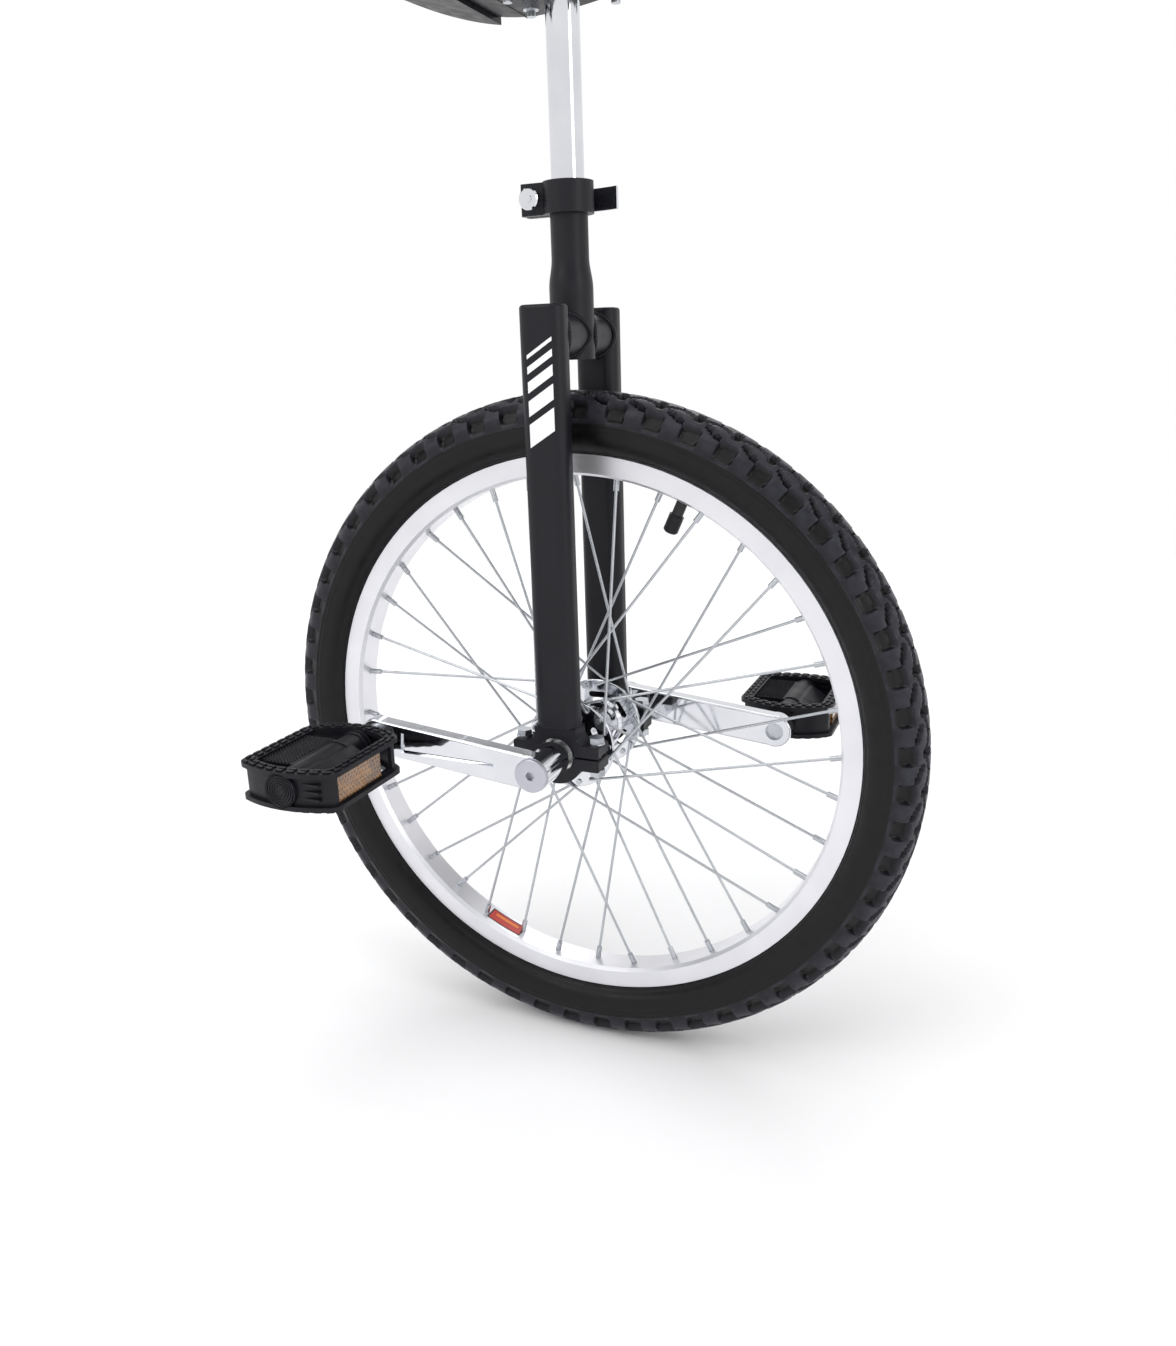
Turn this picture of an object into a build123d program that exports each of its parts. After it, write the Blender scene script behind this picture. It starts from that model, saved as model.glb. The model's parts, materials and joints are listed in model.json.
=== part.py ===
"""Unicycle with a 20-inch wheel, as an assembly of separate pieces.

Frame of the model: +X forward, +Y to the rider's left, +Z up, millimetres.  The origin is the point on
the ground under the middle of the axle.  The wheel stands on the ground and the saddle is at riding height.
"""
from build123d import *
import os
from math import cos, radians, sin

os.makedirs("parts", exist_ok=True)

# ---------------------------------------------------------------------------------------------------
# Driving dimensions
# ---------------------------------------------------------------------------------------------------
# Wheel
rim_radius = 209.5          # outer edge of the rim wall
rim_width = 25.6
rim_wall = 1.8
rim_depth = 15.0            # from the outer edge to the spoke bed
bead_depth = 6.5            # from the outer edge to the bead seat
tyre_height = 42.5          # tread above the rim's edge
tyre_width = 46.0
tread_width = 38.0
tread_thickness = 8.5
casing_thickness = 2.6
tube_thickness = 1.2
tape_thickness = 0.8
soft_gap = 0.3              # between a soft piece and its neighbour
spoke_count = 36
spoke_crossings = 3
spoke_radius = 1.0
spoke_phase = 1.0           # first spoke hole, in degrees from straight ahead
nipple_radius = 2.0
nipple_length = 12.0
nipple_head_radius = 3.2
nipple_hole_radius = 2.15
joint_pin_radius = 1.5
joint_pin_length = 22.0
valve_angle = 66.0          # from straight ahead, turning upwards
valve_radius = 4.0
valve_length = 22.0         # below the spoke bed
valve_cap_radius = 5.3
valve_cap_length = 13.0

# Hub
flange_radius = 34.0
flange_thickness = 3.0
flange_offset = 27.0        # from the middle of the wheel to the middle of a flange
flange_hole_circle = 30.0
flange_hole_radius = 1.3
flange_slots = 6
barrel_radius = 17.5
barrel_wall = 3.5
spindle_radius = 8.5
bearing_bore = 15.0
bearing_outside = 32.0
bearing_width = 9.0
ball_count = 9
running_gap = 0.05          # radial clearance of a running fit
free_gap = 0.2              # radial clearance where nothing bears

# Fork
tyre_side_clearance = 12.9
leg_width = 20.0            # across the wheel
leg_depth = 31.5            # along the wheel
leg_wall = 1.8
leg_corner = 8.5
leg_bottom = 21.0           # above the axle
holder_width = 18.0
holder_ear = 33.4           # reach of the ears, forward and backward
holder_ear_height = 9.5
holder_split = 1.5
holder_wall = 5.2
holder_lip = 13.3           # radius of the opening beside the bearing
bolt_radius = 3.0
crown_clearance = 20.0      # from the tread to the neck's lower end
neck_radius = 15.0
neck_wall = 1.8
neck_straight = 46.0        # height of the full-size part of the neck
neck_swage = 20.0
neck_length = 113.0
crown_tube_radius = 14.5
crown_tube_height = 16.0    # above the neck's lower end
leg_overhang = 19.0         # of the legs above the middle of the crown tubes

# Seat
post_radius = 11.1
post_wall = 2.0
post_length = 220.0
post_showing = 113.0        # between the clamp and the bracket
clamp_height = 20.0
clamp_wall = 4.3
clamp_gap = 3.0
saddle_half_length = 134.0
saddle_nose = 38.0          # half width at the front
saddle_rear = 80.0          # half width at the back
saddle_front_rise = 26.0
saddle_rear_rise = 20.0
saddle_base_thickness = 6.0
saddle_foam_height = 40.0
saddle_cover_thickness = 1.6
saddle_edge_round = 15.0
bumper_wall = 5.0
bumper_height = 20.0

# Cranks and pedals
crank_length = 127.0
crank_rest_angle = -6.2     # left crank, in degrees above straight ahead
crank_gap = 4.1             # between the bearing holder and the crank
crank_boss_length = 35.0
crank_boss_radius = 12.5
crank_eye_radius = 13.0
crank_arm_width = 25.0
crank_arm_thickness = 12.5
crank_arm_set_in = 0.5
taper_small = 12.6          # across the flats at the outer end of the square
taper_large = 14.0
taper_length = 23.0
dust_cap_radius = 12.0
dust_cap_rim = 3.0
pedal_gap = 11.5            # between the crank arm and the pedal
pedal_length = 97.0
pedal_width = 76.0
pedal_height = 26.0
pedal_plate = 3.2
pedal_barrel_radius = 11.0
pedal_bush_radius = 8.5
pedal_thread_radius = 7.1
pedal_spindle_inner = 6.2
pedal_spindle_outer = 5.0

# ---------------------------------------------------------------------------------------------------
# Places that follow from them
# ---------------------------------------------------------------------------------------------------
tyre_radius = rim_radius + tyre_height
hub_height = tyre_radius
bed_radius = rim_radius - rim_depth
bead_radius = rim_radius - bead_depth
rim_inside = rim_width / 2 - rim_wall
hub_shell_end = flange_offset + flange_thickness / 2 + 7.5
bearing_centre = tyre_width / 2 + tyre_side_clearance + leg_width / 2
bearing_inner_face = bearing_centre - bearing_width / 2
bearing_outer_face = bearing_centre + bearing_width / 2
holder_inner_face = bearing_centre - holder_width / 2
holder_outer_face = bearing_centre + holder_width / 2
boss_inner_face = holder_outer_face + crank_gap
boss_outer_face = boss_inner_face + crank_boss_length
arm_outer_face = boss_outer_face - crank_arm_set_in
arm_inner_face = arm_outer_face - crank_arm_thickness
neck_bottom = hub_height + tyre_radius + crown_clearance
neck_top = neck_bottom + neck_length
crown_height = neck_bottom + crown_tube_height
leg_top = crown_height + leg_overhang
clamp_bottom = neck_top - clamp_height
post_top = neck_top + post_showing
swaged_radius = post_radius + running_gap + 1.55
pedal_outer = pedal_gap + pedal_length
half_pedal = pedal_width / 2
plate_inside = pedal_height / 2 - pedal_plate
crank_x = crank_length * cos(radians(crank_rest_angle))
crank_z = crank_length * sin(radians(crank_rest_angle))

AXLE = Axis((0, 0, hub_height), (0, 1, 0))
SECTION = Plane(origin=(0, 0, hub_height), x_dir=(0, 1, 0), z_dir=(1, 0, 0))


def wheel_plane(offset):
    """Upright plane beside the wheel, facing right: x forward, y up, centred on the axle."""
    return Plane(origin=(0, -offset, hub_height), x_dir=(1, 0, 0), z_dir=(0, -1, 0))


def radial_place(angle, radius, offset=0.0):
    """Place on the wheel with its z axis pointing out from the axle; the angle turns up from ahead."""
    out = (cos(radians(angle)), 0, sin(radians(angle)))
    point = (radius * out[0], -offset, hub_height + radius * out[2])
    return Plane(origin=point, x_dir=(0, 1, 0), z_dir=out).location


def write(piece, name):
    """Label a finished piece and write it out."""
    piece.part.label = name
    export_step(piece.part, f"parts/{name}.step")


def turned(*half_section):
    """A piece turned about the axle, from (distance to the left, radius) corners."""
    with BuildPart() as piece:
        with BuildSketch(SECTION):
            with BuildLine():
                Polyline(*half_section, close=True)
            make_face()
        revolve(axis=AXLE)
    return piece


def turned_bush(start, end, inner, outer):
    """A plain ring about the axle, from start to end along it."""
    return turned((start, inner), (end, inner), (end, outer), (start, outer))


def mirrored(piece):
    """The same piece on the other side of the wheel."""
    with BuildPart() as other:
        mirror(piece.part, about=Plane.XZ)
    return other


def both_sides(piece):
    """A piece and its mirror image across the wheel, as separate solids."""
    with BuildPart() as pair:
        add(piece.part)
        mirror(about=Plane.XZ)
    return pair


# ---------------------------------------------------------------------------------------------------
# Tyre, tube, tape and rim
# ---------------------------------------------------------------------------------------------------
sidewall_height = rim_radius + 0.37 * tyre_height
shoulder_height = tyre_radius - 10.0
half_tread = tread_width / 2
half_tyre = tyre_width / 2
bead_outside = rim_inside - soft_gap
bead_inside = bead_outside - casing_thickness
bead_foot = bead_radius + 0.2
cavity_top = tyre_radius - tread_thickness
cavity_side = half_tyre - casing_thickness


def cavity_outline(side):
    """Half of the tyre's inner surface, from the bead up to the crown."""
    ThreePointArc(
        (side * bead_inside, rim_radius),
        (side * cavity_side, sidewall_height),
        (side * (half_tread - casing_thickness), cavity_top - 6.0),
    )
    ThreePointArc(
        (side * (half_tread - casing_thickness), cavity_top - 6.0),
        (side * half_tread * 0.55, cavity_top - 1.8),
        (0, cavity_top),
    )


with BuildPart() as tyre:
    with BuildSketch(SECTION):
        with BuildLine():
            for side in (-1, 1):
                Line((side * bead_inside, bead_foot), (side * bead_outside, bead_foot))
                Line((side * bead_outside, bead_foot), (side * bead_outside, rim_radius))
                ThreePointArc(
                    (side * bead_outside, rim_radius),
                    (side * half_tyre, sidewall_height),
                    (side * half_tread, shoulder_height),
                )
                ThreePointArc(
                    (side * half_tread, shoulder_height),
                    (side * half_tread * 0.62, tyre_radius - 3.4),
                    (0, tyre_radius),
                )
                cavity_outline(side)
                Line((side * bead_inside, rim_radius), (side * bead_inside, bead_foot))
        make_face()
    revolve(axis=AXLE)

tube_floor = bead_radius + tape_thickness + soft_gap
with BuildPart() as inner_tube:
    with BuildSketch(SECTION):
        with BuildLine():
            for side in (-1, 1):
                cavity_outline(side)
                Line((side * bead_inside, rim_radius), (side * bead_inside, tube_floor))
            Line((-bead_inside, tube_floor), (bead_inside, tube_floor))
        make_face()
        offset(amount=-soft_gap, mode=Mode.REPLACE)
        offset(amount=-tube_thickness, mode=Mode.SUBTRACT)
    revolve(axis=AXLE)

with BuildPart() as rim_tape:
    with BuildSketch(SECTION):
        with Locations((0, bead_radius + tape_thickness / 2)):
            Rectangle(2 * (bead_inside - soft_gap), tape_thickness)
    revolve(axis=AXLE)
    with Locations(radial_place(valve_angle, bead_radius)):
        Cylinder(valve_radius + running_gap, 4 * tape_thickness, mode=Mode.SUBTRACT)

# ---------------------------------------------------------------------------------------------------
# Spokes and nipples, laced so that each spoke crosses three others
# ---------------------------------------------------------------------------------------------------
half_flange = flange_thickness / 2
turn_of_spoke = spoke_crossings * 720 / spoke_count
spoke_stand_off = half_flange + spoke_radius + 0.15
flange_edge_drop = 1.3      # room for a spoke that leaves outside the flange to lean in over its edge
bed_thickness = rim_wall
nipple_seat = bed_radius + bed_thickness
nipple_spread = 1.5


def on_wheel(radius, angle, to_right):
    """Point in the wheel's own frame: x ahead, y up, z to the right."""
    return Vector(radius * cos(radians(angle)), radius * sin(radians(angle)), to_right)


def spoke_line(right_side, trailing):
    """Head, elbow and rim end of one spoke of a family, in the wheel's own frame."""
    first_hole = spoke_phase + (0 if right_side else 360 / spoke_count)
    rim_angle = first_hole + (0 if trailing else 720 / spoke_count)
    hub_angle = rim_angle + (-turn_of_spoke if trailing else turn_of_spoke)
    side = 1 if right_side else -1
    head_offset = -half_flange if trailing else half_flange
    elbow_offset = spoke_stand_off + flange_edge_drop if trailing else -spoke_stand_off
    head = on_wheel(flange_hole_circle, hub_angle, side * (flange_offset + head_offset))
    elbow = on_wheel(flange_hole_circle, hub_angle, side * (flange_offset + elbow_offset))
    end = on_wheel(nipple_seat + 1.0, rim_angle, side * nipple_spread)
    return head, elbow, end


def one_spoke(head, elbow, end):
    """A spoke: flat head in the flange, an elbow, and a straight run to the rim."""
    lead = (elbow - head).normalized()
    with BuildPart() as spoke:
        with BuildLine() as path:
            FilletPolyline(head, elbow, end, radius=spoke_radius * 1.15)
        with BuildSketch(Plane(origin=head, z_dir=lead)):
            Circle(spoke_radius)
        sweep(path=path.line)
        with BuildSketch(Plane(origin=head, z_dir=-lead)):
            Circle(flange_hole_radius + 0.8)
        extrude(amount=1.2)
    return spoke


def one_nipple(elbow, end):
    """A nipple on the end of a spoke, with its head inside the rim."""
    inwards = (elbow - end).normalized()
    with BuildPart() as nipple:
        with BuildSketch(Plane(origin=end, z_dir=inwards)):
            Circle(nipple_head_radius)
        extrude(amount=-2.2)
        with BuildSketch(Plane(origin=end, z_dir=inwards)):
            Circle(nipple_radius)
        extrude(amount=nipple_length)
        with BuildSketch(Plane(origin=end, z_dir=inwards)):
            Circle(spoke_radius)
        extrude(amount=nipple_length, mode=Mode.SUBTRACT)
    return nipple


def one_nipple_hole(elbow, end):
    """The hole for a nipple through the spoke bed, drilled towards the hub's flange."""
    with BuildPart() as hole:
        with BuildSketch(Plane(origin=end, z_dir=(elbow - end).normalized())):
            Circle(nipple_hole_radius)
        extrude(amount=nipple_length)
    return hole


spoke_families = [spoke_line(right, trailing) for right in (True, False) for trailing in (True, False)]
one_of_each_spoke = [one_spoke(*line) for line in spoke_families]
one_of_each_nipple = [one_nipple(line[1], line[2]) for line in spoke_families]

with BuildPart(wheel_plane(0)) as spokes:
    with PolarLocations(0, spoke_count // 4):
        for family in one_of_each_spoke:
            add(family.part)

with BuildPart(wheel_plane(0)) as nipples:
    with PolarLocations(0, spoke_count // 4):
        for family in one_of_each_nipple:
            add(family.part)

with BuildPart(wheel_plane(0)) as nipple_holes:
    with PolarLocations(0, spoke_count // 4):
        for line in spoke_families:
            add(one_nipple_hole(line[1], line[2]).part)

# ---------------------------------------------------------------------------------------------------
# Rim and valve
# ---------------------------------------------------------------------------------------------------
spoke_angles = [spoke_phase + k * 360 / spoke_count for k in range(spoke_count)]
access_radius = nipple_head_radius + 0.8
with BuildPart() as rim:
    with BuildSketch(SECTION):
        with BuildLine():
            for side in (-1, 1):
                Polyline(
                    (0, bed_radius),
                    (side * (rim_width / 2 - 3.0), bed_radius),
                    (side * rim_width / 2, bed_radius + 2.0),
                    (side * rim_width / 2, rim_radius),
                    (side * rim_inside, rim_radius),
                    (side * rim_inside, bead_radius),
                    (0, bead_radius),
                )
        make_face()
        with Locations((0, (bed_radius + bead_radius) / 2)):
            cavity_height = bead_radius - bed_radius - 2 * bed_thickness
            RectangleRounded(2 * rim_inside - 1.0, cavity_height, 1.5, mode=Mode.SUBTRACT)
    revolve(axis=AXLE)
    add(nipple_holes.part, mode=Mode.SUBTRACT)
    with Locations(*[radial_place(angle, bead_radius) for angle in spoke_angles]):
        Cylinder(access_radius, 2.5 * bed_thickness, mode=Mode.SUBTRACT)
    with Locations(radial_place(valve_angle, (bed_radius + bead_radius) / 2)):
        Cylinder(valve_radius + running_gap, 2 * rim_depth, mode=Mode.SUBTRACT)

joint_angle = valve_angle + 180
joint_radius = (bed_radius + bead_radius) / 2
pin_offset = rim_inside - 3.2
with BuildPart() as rim_joint_pins:
    with Locations(*[radial_place(joint_angle, joint_radius, side * pin_offset) for side in (-1, 1)]):
        Cylinder(joint_pin_radius, joint_pin_length, rotation=(90, 0, 0))

# The valve stands on the tube's floor and passes through the tape and both walls of the rim.
valve_end = bed_radius - valve_length
cap_end = valve_end - 3.0
cap_top = cap_end + valve_cap_length
stem_base = tube_floor + 0.2
thread_radius = valve_radius - 0.2
with BuildPart() as valve_stem:
    with Locations(radial_place(valve_angle, (stem_base + cap_top) / 2)):
        Cylinder(valve_radius, stem_base - cap_top)
    with Locations(radial_place(valve_angle, (valve_end + cap_top) / 2)):
        Cylinder(thread_radius, cap_top - valve_end)

with BuildPart() as valve_cap:
    with Locations(radial_place(valve_angle, (cap_end + cap_top) / 2)):
        Cylinder(valve_cap_radius, valve_cap_length)
        chamfer(edges().filter_by(GeomType.CIRCLE).sort_by_distance((0, 0, hub_height))[0], 1.2)
    with Locations(radial_place(valve_angle, (valve_end + cap_top) / 2)):
        Cylinder(thread_radius, cap_top - valve_end, mode=Mode.SUBTRACT)

# ---------------------------------------------------------------------------------------------------
# Hub, spindle and bearings
# ---------------------------------------------------------------------------------------------------
flange_face = flange_offset - half_flange
barrel_inside = barrel_radius - barrel_wall
hub_boss_radius = 13.0
slot_circle = 22.0
with BuildPart() as hub_shell:
    with BuildSketch(SECTION):
        with BuildLine():
            for side in (-1, 1):
                Polyline(
                    (0, barrel_radius),
                    (side * (flange_face - 2.0), barrel_radius),
                    (side * flange_face, barrel_radius + 2.0),
                    (side * flange_face, flange_radius),
                    (side * (flange_face + flange_thickness), flange_radius),
                    (side * (flange_face + flange_thickness), hub_boss_radius),
                    (side * hub_shell_end, hub_boss_radius),
                    (side * hub_shell_end, spindle_radius),
                    (side * (flange_face - 4.0), spindle_radius),
                    (side * (flange_face - 4.0), barrel_inside),
                    (0, barrel_inside),
                )
        make_face()
    revolve(axis=AXLE)
    rims = [edge for edge in edges().filter_by(GeomType.CIRCLE) if edge.radius > flange_radius - 0.1]
    fillet(rims, half_flange * 0.6)
    for right_side in (True, False):
        first_hole = spoke_phase + (0 if right_side else 360 / spoke_count)
        start = flange_face if right_side else -flange_face - flange_thickness
        with BuildSketch(wheel_plane(start)):
            with PolarLocations(flange_hole_circle, spoke_count // 2, start_angle=first_hole):
                Circle(flange_hole_radius)
            with PolarLocations(slot_circle, flange_slots, start_angle=first_hole + 20):
                SlotOverall(14.0, 4.6, rotation=90)
        extrude(amount=flange_thickness, mode=Mode.SUBTRACT)

bearing_seat = bearing_bore / 2
taper_start = boss_inner_face + 1.0
taper_end = taper_start + taper_length
bolt_hole_radius = 3.4


def square_taper(side):
    """The tapered square of the spindle's end, from its large end to its small end."""
    with BuildPart() as taper:
        for offset, across in ((taper_start, taper_large), (taper_end, taper_small)):
            with BuildSketch(crank_plane(side, offset)):
                Rectangle(across, across)
                Circle(bearing_seat, mode=Mode.INTERSECT)
        loft(ruled=True)
    return taper


def crank_angle(side):
    """Direction of a crank at rest, in degrees above straight ahead: the two are opposite."""
    return crank_rest_angle if side > 0 else crank_rest_angle + 180


def crank_plane(side, distance):
    """Plane across the axle, x along the crank, facing outwards on that side."""
    angle = radians(crank_angle(side))
    return Plane(
        origin=(0, side * distance, hub_height),
        x_dir=(cos(angle), 0, sin(angle)),
        z_dir=(0, side, 0),
    )


with BuildPart() as hub_spindle:
    with BuildSketch(SECTION):
        with BuildLine():
            for side in (-1, 1):
                Polyline(
                    (0, spindle_radius),
                    (side * hub_shell_end, spindle_radius),
                    (side * hub_shell_end, bearing_seat),
                    (side * taper_start, bearing_seat),
                    (side * taper_start, 0),
                )
            Line((-taper_start, 0), (taper_start, 0))
        make_face()
    revolve(axis=AXLE)
    for side in (-1, 1):
        add(square_taper(side).part)
        with BuildSketch(crank_plane(side, taper_end)):
            Circle(bolt_hole_radius)
        extrude(amount=-taper_length, mode=Mode.SUBTRACT)

race_wall = 2.2
inner_race_radius = bearing_seat + race_wall
outer_race_radius = bearing_outside / 2 - 2.4
ball_circle = (inner_race_radius + outer_race_radius) / 2
ball_radius = 2.4
groove_radius = ball_radius + running_gap
seal_thickness = 0.8


def race(inner, outer):
    """One race of a ball bearing, with the groove that its balls run in."""
    with BuildPart() as ring:
        with BuildSketch(SECTION):
            with BuildLine():
                Polyline(
                    (bearing_inner_face, inner),
                    (bearing_outer_face, inner),
                    (bearing_outer_face, outer),
                    (bearing_inner_face, outer),
                    close=True,
                )
            make_face()
            with Locations((bearing_centre, ball_circle)):
                Circle(groove_radius, mode=Mode.SUBTRACT)
        revolve(axis=AXLE)
    return both_sides(ring)


bearing_inner_races = race(bearing_seat, inner_race_radius)
bearing_outer_races = race(outer_race_radius, bearing_outside / 2)

with BuildPart() as bearing_balls:
    for side in (-1, 1):
        with Locations(wheel_plane(side * bearing_centre)):
            with PolarLocations(ball_circle, ball_count):
                Sphere(ball_radius)

shield_outside = outer_race_radius
shield_inside = inner_race_radius + free_gap
shield_starts = (bearing_inner_face, bearing_outer_face - seal_thickness)
with BuildPart() as bearing_shields:
    for start in shield_starts:
        add(turned_bush(start, start + seal_thickness, shield_inside, shield_outside).part)
    mirror(about=Plane.XZ)

spacer_radius = inner_race_radius - 0.3
with BuildPart() as spindle_spacers:
    add(turned_bush(hub_shell_end, bearing_inner_face, bearing_seat, spacer_radius).part)
    add(turned_bush(bearing_outer_face, boss_inner_face, bearing_seat, spacer_radius).part)
    mirror(about=Plane.XZ)

# ---------------------------------------------------------------------------------------------------
# Cranks, their bolts and dust caps
# ---------------------------------------------------------------------------------------------------
boss_bore = 11.0
boss_bore_depth = boss_outer_face - taper_end - 1.5
channel_start = 30.0
channel_end = crank_length - 22.0
channel_depth = 2.6


def crank(side):
    """A crank arm with its boss, square hole, puller thread bore, channel and pedal hole."""
    with BuildPart() as arm:
        with BuildSketch(crank_plane(side, arm_inner_face)):
            with Locations((crank_length / 2, 0)):
                SlotCenterToCenter(crank_length, crank_arm_width)
            with Locations((crank_length, 0)):
                Circle(crank_eye_radius)
        extrude(amount=crank_arm_thickness)
        faces_out = faces().sort_by(Axis((0, 0, 0), (0, side, 0)))
        fillet(faces_out[-1].edges() + faces_out[0].edges(), 1.6)
        with BuildSketch(crank_plane(side, arm_outer_face)):
            with BuildLine():
                Polyline(
                    (channel_start, 1.0),
                    (channel_start, -1.0),
                    (channel_end, -7.6),
                    (channel_end, 7.6),
                    close=True,
                )
            make_face()
        extrude(amount=-channel_depth, taper=12, mode=Mode.SUBTRACT)
        with BuildSketch(crank_plane(side, boss_inner_face)):
            Circle(crank_boss_radius)
        extrude(amount=crank_boss_length)
        boss_rims = [edge for edge in edges().filter_by(GeomType.CIRCLE)
                     if abs(abs(edge.center().Y) - boss_inner_face) < 0.01]
        chamfer(boss_rims, 1.0)
        with BuildSketch(crank_plane(side, boss_outer_face)):
            Circle(boss_bore)
        extrude(amount=-boss_bore_depth, mode=Mode.SUBTRACT)
        with BuildSketch(crank_plane(side, boss_outer_face)):
            Circle(bearing_seat)
        extrude(amount=-(boss_outer_face - taper_end), mode=Mode.SUBTRACT)
        add(square_taper(side).part, mode=Mode.SUBTRACT)
        with BuildSketch(crank_plane(side, boss_inner_face)):
            Circle(bearing_seat)
        extrude(amount=taper_start - boss_inner_face, mode=Mode.SUBTRACT)
        with BuildSketch(crank_plane(side, arm_outer_face)):
            with Locations((crank_length, 0)):
                Circle(pedal_thread_radius)
        extrude(amount=-crank_arm_thickness, mode=Mode.SUBTRACT)
    return arm


left_crank = crank(1)
right_crank = crank(-1)

bolt_seat = boss_outer_face - boss_bore_depth
bolt_head_height = 4.0
with BuildPart() as crank_bolts:
    for side in (-1, 1):
        with BuildSketch(crank_plane(side, bolt_seat)):
            Circle(boss_bore - 1.5)
        extrude(amount=1.0)
        with BuildSketch(crank_plane(side, bolt_seat + 1.0)):
            RegularPolygon(7.0, 6, major_radius=False)
        extrude(amount=bolt_head_height)
        with BuildSketch(crank_plane(side, bolt_seat)):
            Circle(bolt_hole_radius)
        extrude(amount=-(bolt_seat - taper_end) - taper_length * 0.8)

cap_socket = 6.0
with BuildPart() as dust_caps:
    for side in (-1, 1):
        with BuildSketch(crank_plane(side, boss_outer_face)):
            Circle(dust_cap_radius)
        extrude(amount=dust_cap_rim)
        with BuildSketch(crank_plane(side, boss_outer_face)):
            Circle(boss_bore - 0.05)
        extrude(amount=-2.0)
    cap_faces = [edge for edge in edges().filter_by(GeomType.CIRCLE)
                 if abs(edge.center().Y) > boss_outer_face + dust_cap_rim - 0.01]
    fillet(cap_faces, 0.9)
    for side in (-1, 1):
        with BuildSketch(crank_plane(side, boss_outer_face + dust_cap_rim)):
            RegularPolygon(cap_socket / 2, 6, major_radius=False)
        extrude(amount=-dust_cap_rim - 0.8, mode=Mode.SUBTRACT)

# ---------------------------------------------------------------------------------------------------
# Pedals, modelled as the left one with the outer face of its crank arm at y = 0
# ---------------------------------------------------------------------------------------------------
left_pedal_place = (crank_x, arm_outer_face, hub_height + crank_z)
right_pedal_place = (-crank_x, -arm_outer_face, hub_height - crank_z)
bush_length = 11.0
inner_bush_start = pedal_gap + 1.5
spindle_step = inner_bush_start + bush_length + 4.0
outer_bush_end = pedal_outer - 18.0
cap_radius = pedal_barrel_radius + 0.75
cap_thickness = 4.0
cap_plug_length = 5.0
nut_bore = pedal_bush_radius + 1.0
window_inset = 9.5
wall_inset = 3.0            # from the plates' edge to the wall between them
side_wall = 3.0
plate_corner = 8.0
shoulder_inner = pedal_gap + 15.0
shoulder_outer = pedal_outer - 9.0
window_start = shoulder_inner + 6.0
window_end = shoulder_outer - 6.0
reflector_start = window_start + 13.0
reflector_thickness = 2.4


def across_pedal(distance):
    """Plane across the pedal's spindle at that distance from the crank, facing outwards."""
    return Plane(origin=(0, distance, 0), x_dir=(-1, 0, 0), z_dir=(0, 1, 0))


def pedal_outline(plane, inset):
    """The rounded outline of a pedal seen from above, shrunk all round by the inset."""
    with BuildSketch(plane) as outline:
        with BuildLine():
            Line((-half_pedal, shoulder_inner), (-half_pedal, shoulder_outer))
            ThreePointArc((-half_pedal, shoulder_outer), (0, pedal_outer), (half_pedal, shoulder_outer))
            Line((half_pedal, shoulder_outer), (half_pedal, shoulder_inner))
            ThreePointArc((half_pedal, shoulder_inner), (0, pedal_gap), (-half_pedal, shoulder_inner))
        make_face()
        fillet(outline.vertices(), plate_corner)
        if inset:
            offset(amount=-inset, mode=Mode.REPLACE)
    return outline


def across_spindle_rod(start, end, radius):
    """A rod along the pedal's spindle."""
    with BuildPart() as rod:
        with BuildSketch(across_pedal(start)):
            Circle(radius)
        extrude(amount=end - start)
    return rod


def at_pedals(piece):
    """The piece at the left pedal and its mirror image at the right pedal."""
    flipped = mirror(piece.part, about=Plane.XZ)
    with BuildPart() as left:
        with Locations(left_pedal_place):
            add(piece.part)
    with BuildPart() as right:
        with Locations(right_pedal_place):
            add(flipped)
    return left, right


with BuildPart() as pedal_body:
    for level in (-pedal_height / 2, plate_inside):
        add(pedal_outline(Plane.XY.offset(level), 0).sketch)
        extrude(amount=pedal_plate)
        add(pedal_outline(Plane.XY.offset(level), window_inset).sketch)
        extrude(amount=pedal_plate, mode=Mode.SUBTRACT)
    add(pedal_outline(Plane.XY.offset(-plate_inside), wall_inset).sketch)
    extrude(amount=2 * plate_inside)
    add(pedal_outline(Plane.XY.offset(-plate_inside), wall_inset + side_wall).sketch)
    extrude(amount=2 * plate_inside, mode=Mode.SUBTRACT)
    # The side openings, part of them filled by the reflectors.
    with Locations((0, (window_start + window_end) / 2, 0)):
        Box(2 * pedal_width, window_end - window_start, 2 * (plate_inside - 1.2), mode=Mode.SUBTRACT)
    # The barrel round the spindle, and the web with a tread pad on each face.
    add(across_spindle_rod(pedal_gap, pedal_outer - cap_thickness, pedal_barrel_radius).part)
    with BuildSketch(across_pedal(reflector_start - 6.0)):
        with BuildLine():
            Polyline((29, 11), (5, 11), (-9, 8.5), (-29, -4), (-29, -11), (-5, -11), (9, -8.5), (29, 4),
                     close=True)
        make_face()
    extrude(amount=window_end - reflector_start + 2.0)
    # Stiffening ribs on the outer end.
    with Locations(*[(21, pedal_outer - 6.6, rise) for rise in (-5, 0, 5)]):
        Box(13, 5, 1.6)
    add(across_spindle_rod(0, outer_bush_end, pedal_bush_radius).part, mode=Mode.SUBTRACT)
    add(across_spindle_rod(outer_bush_end, pedal_outer, nut_bore).part, mode=Mode.SUBTRACT)
    add(across_spindle_rod(pedal_outer - cap_thickness, 2 * pedal_outer, cap_radius + 0.05).part,
        mode=Mode.SUBTRACT)
left_pedal_body, right_pedal_body = at_pedals(pedal_body)

with BuildPart() as pedal_reflectors:
    middle = (reflector_start + window_end) / 2
    with Locations(*[(side * (half_pedal - wall_inset - 1.4), middle, 0) for side in (-1, 1)]):
        Box(reflector_thickness, window_end - reflector_start, 2 * (plate_inside - 1.2))
left_pedal_reflectors, right_pedal_reflectors = at_pedals(pedal_reflectors)

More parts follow.
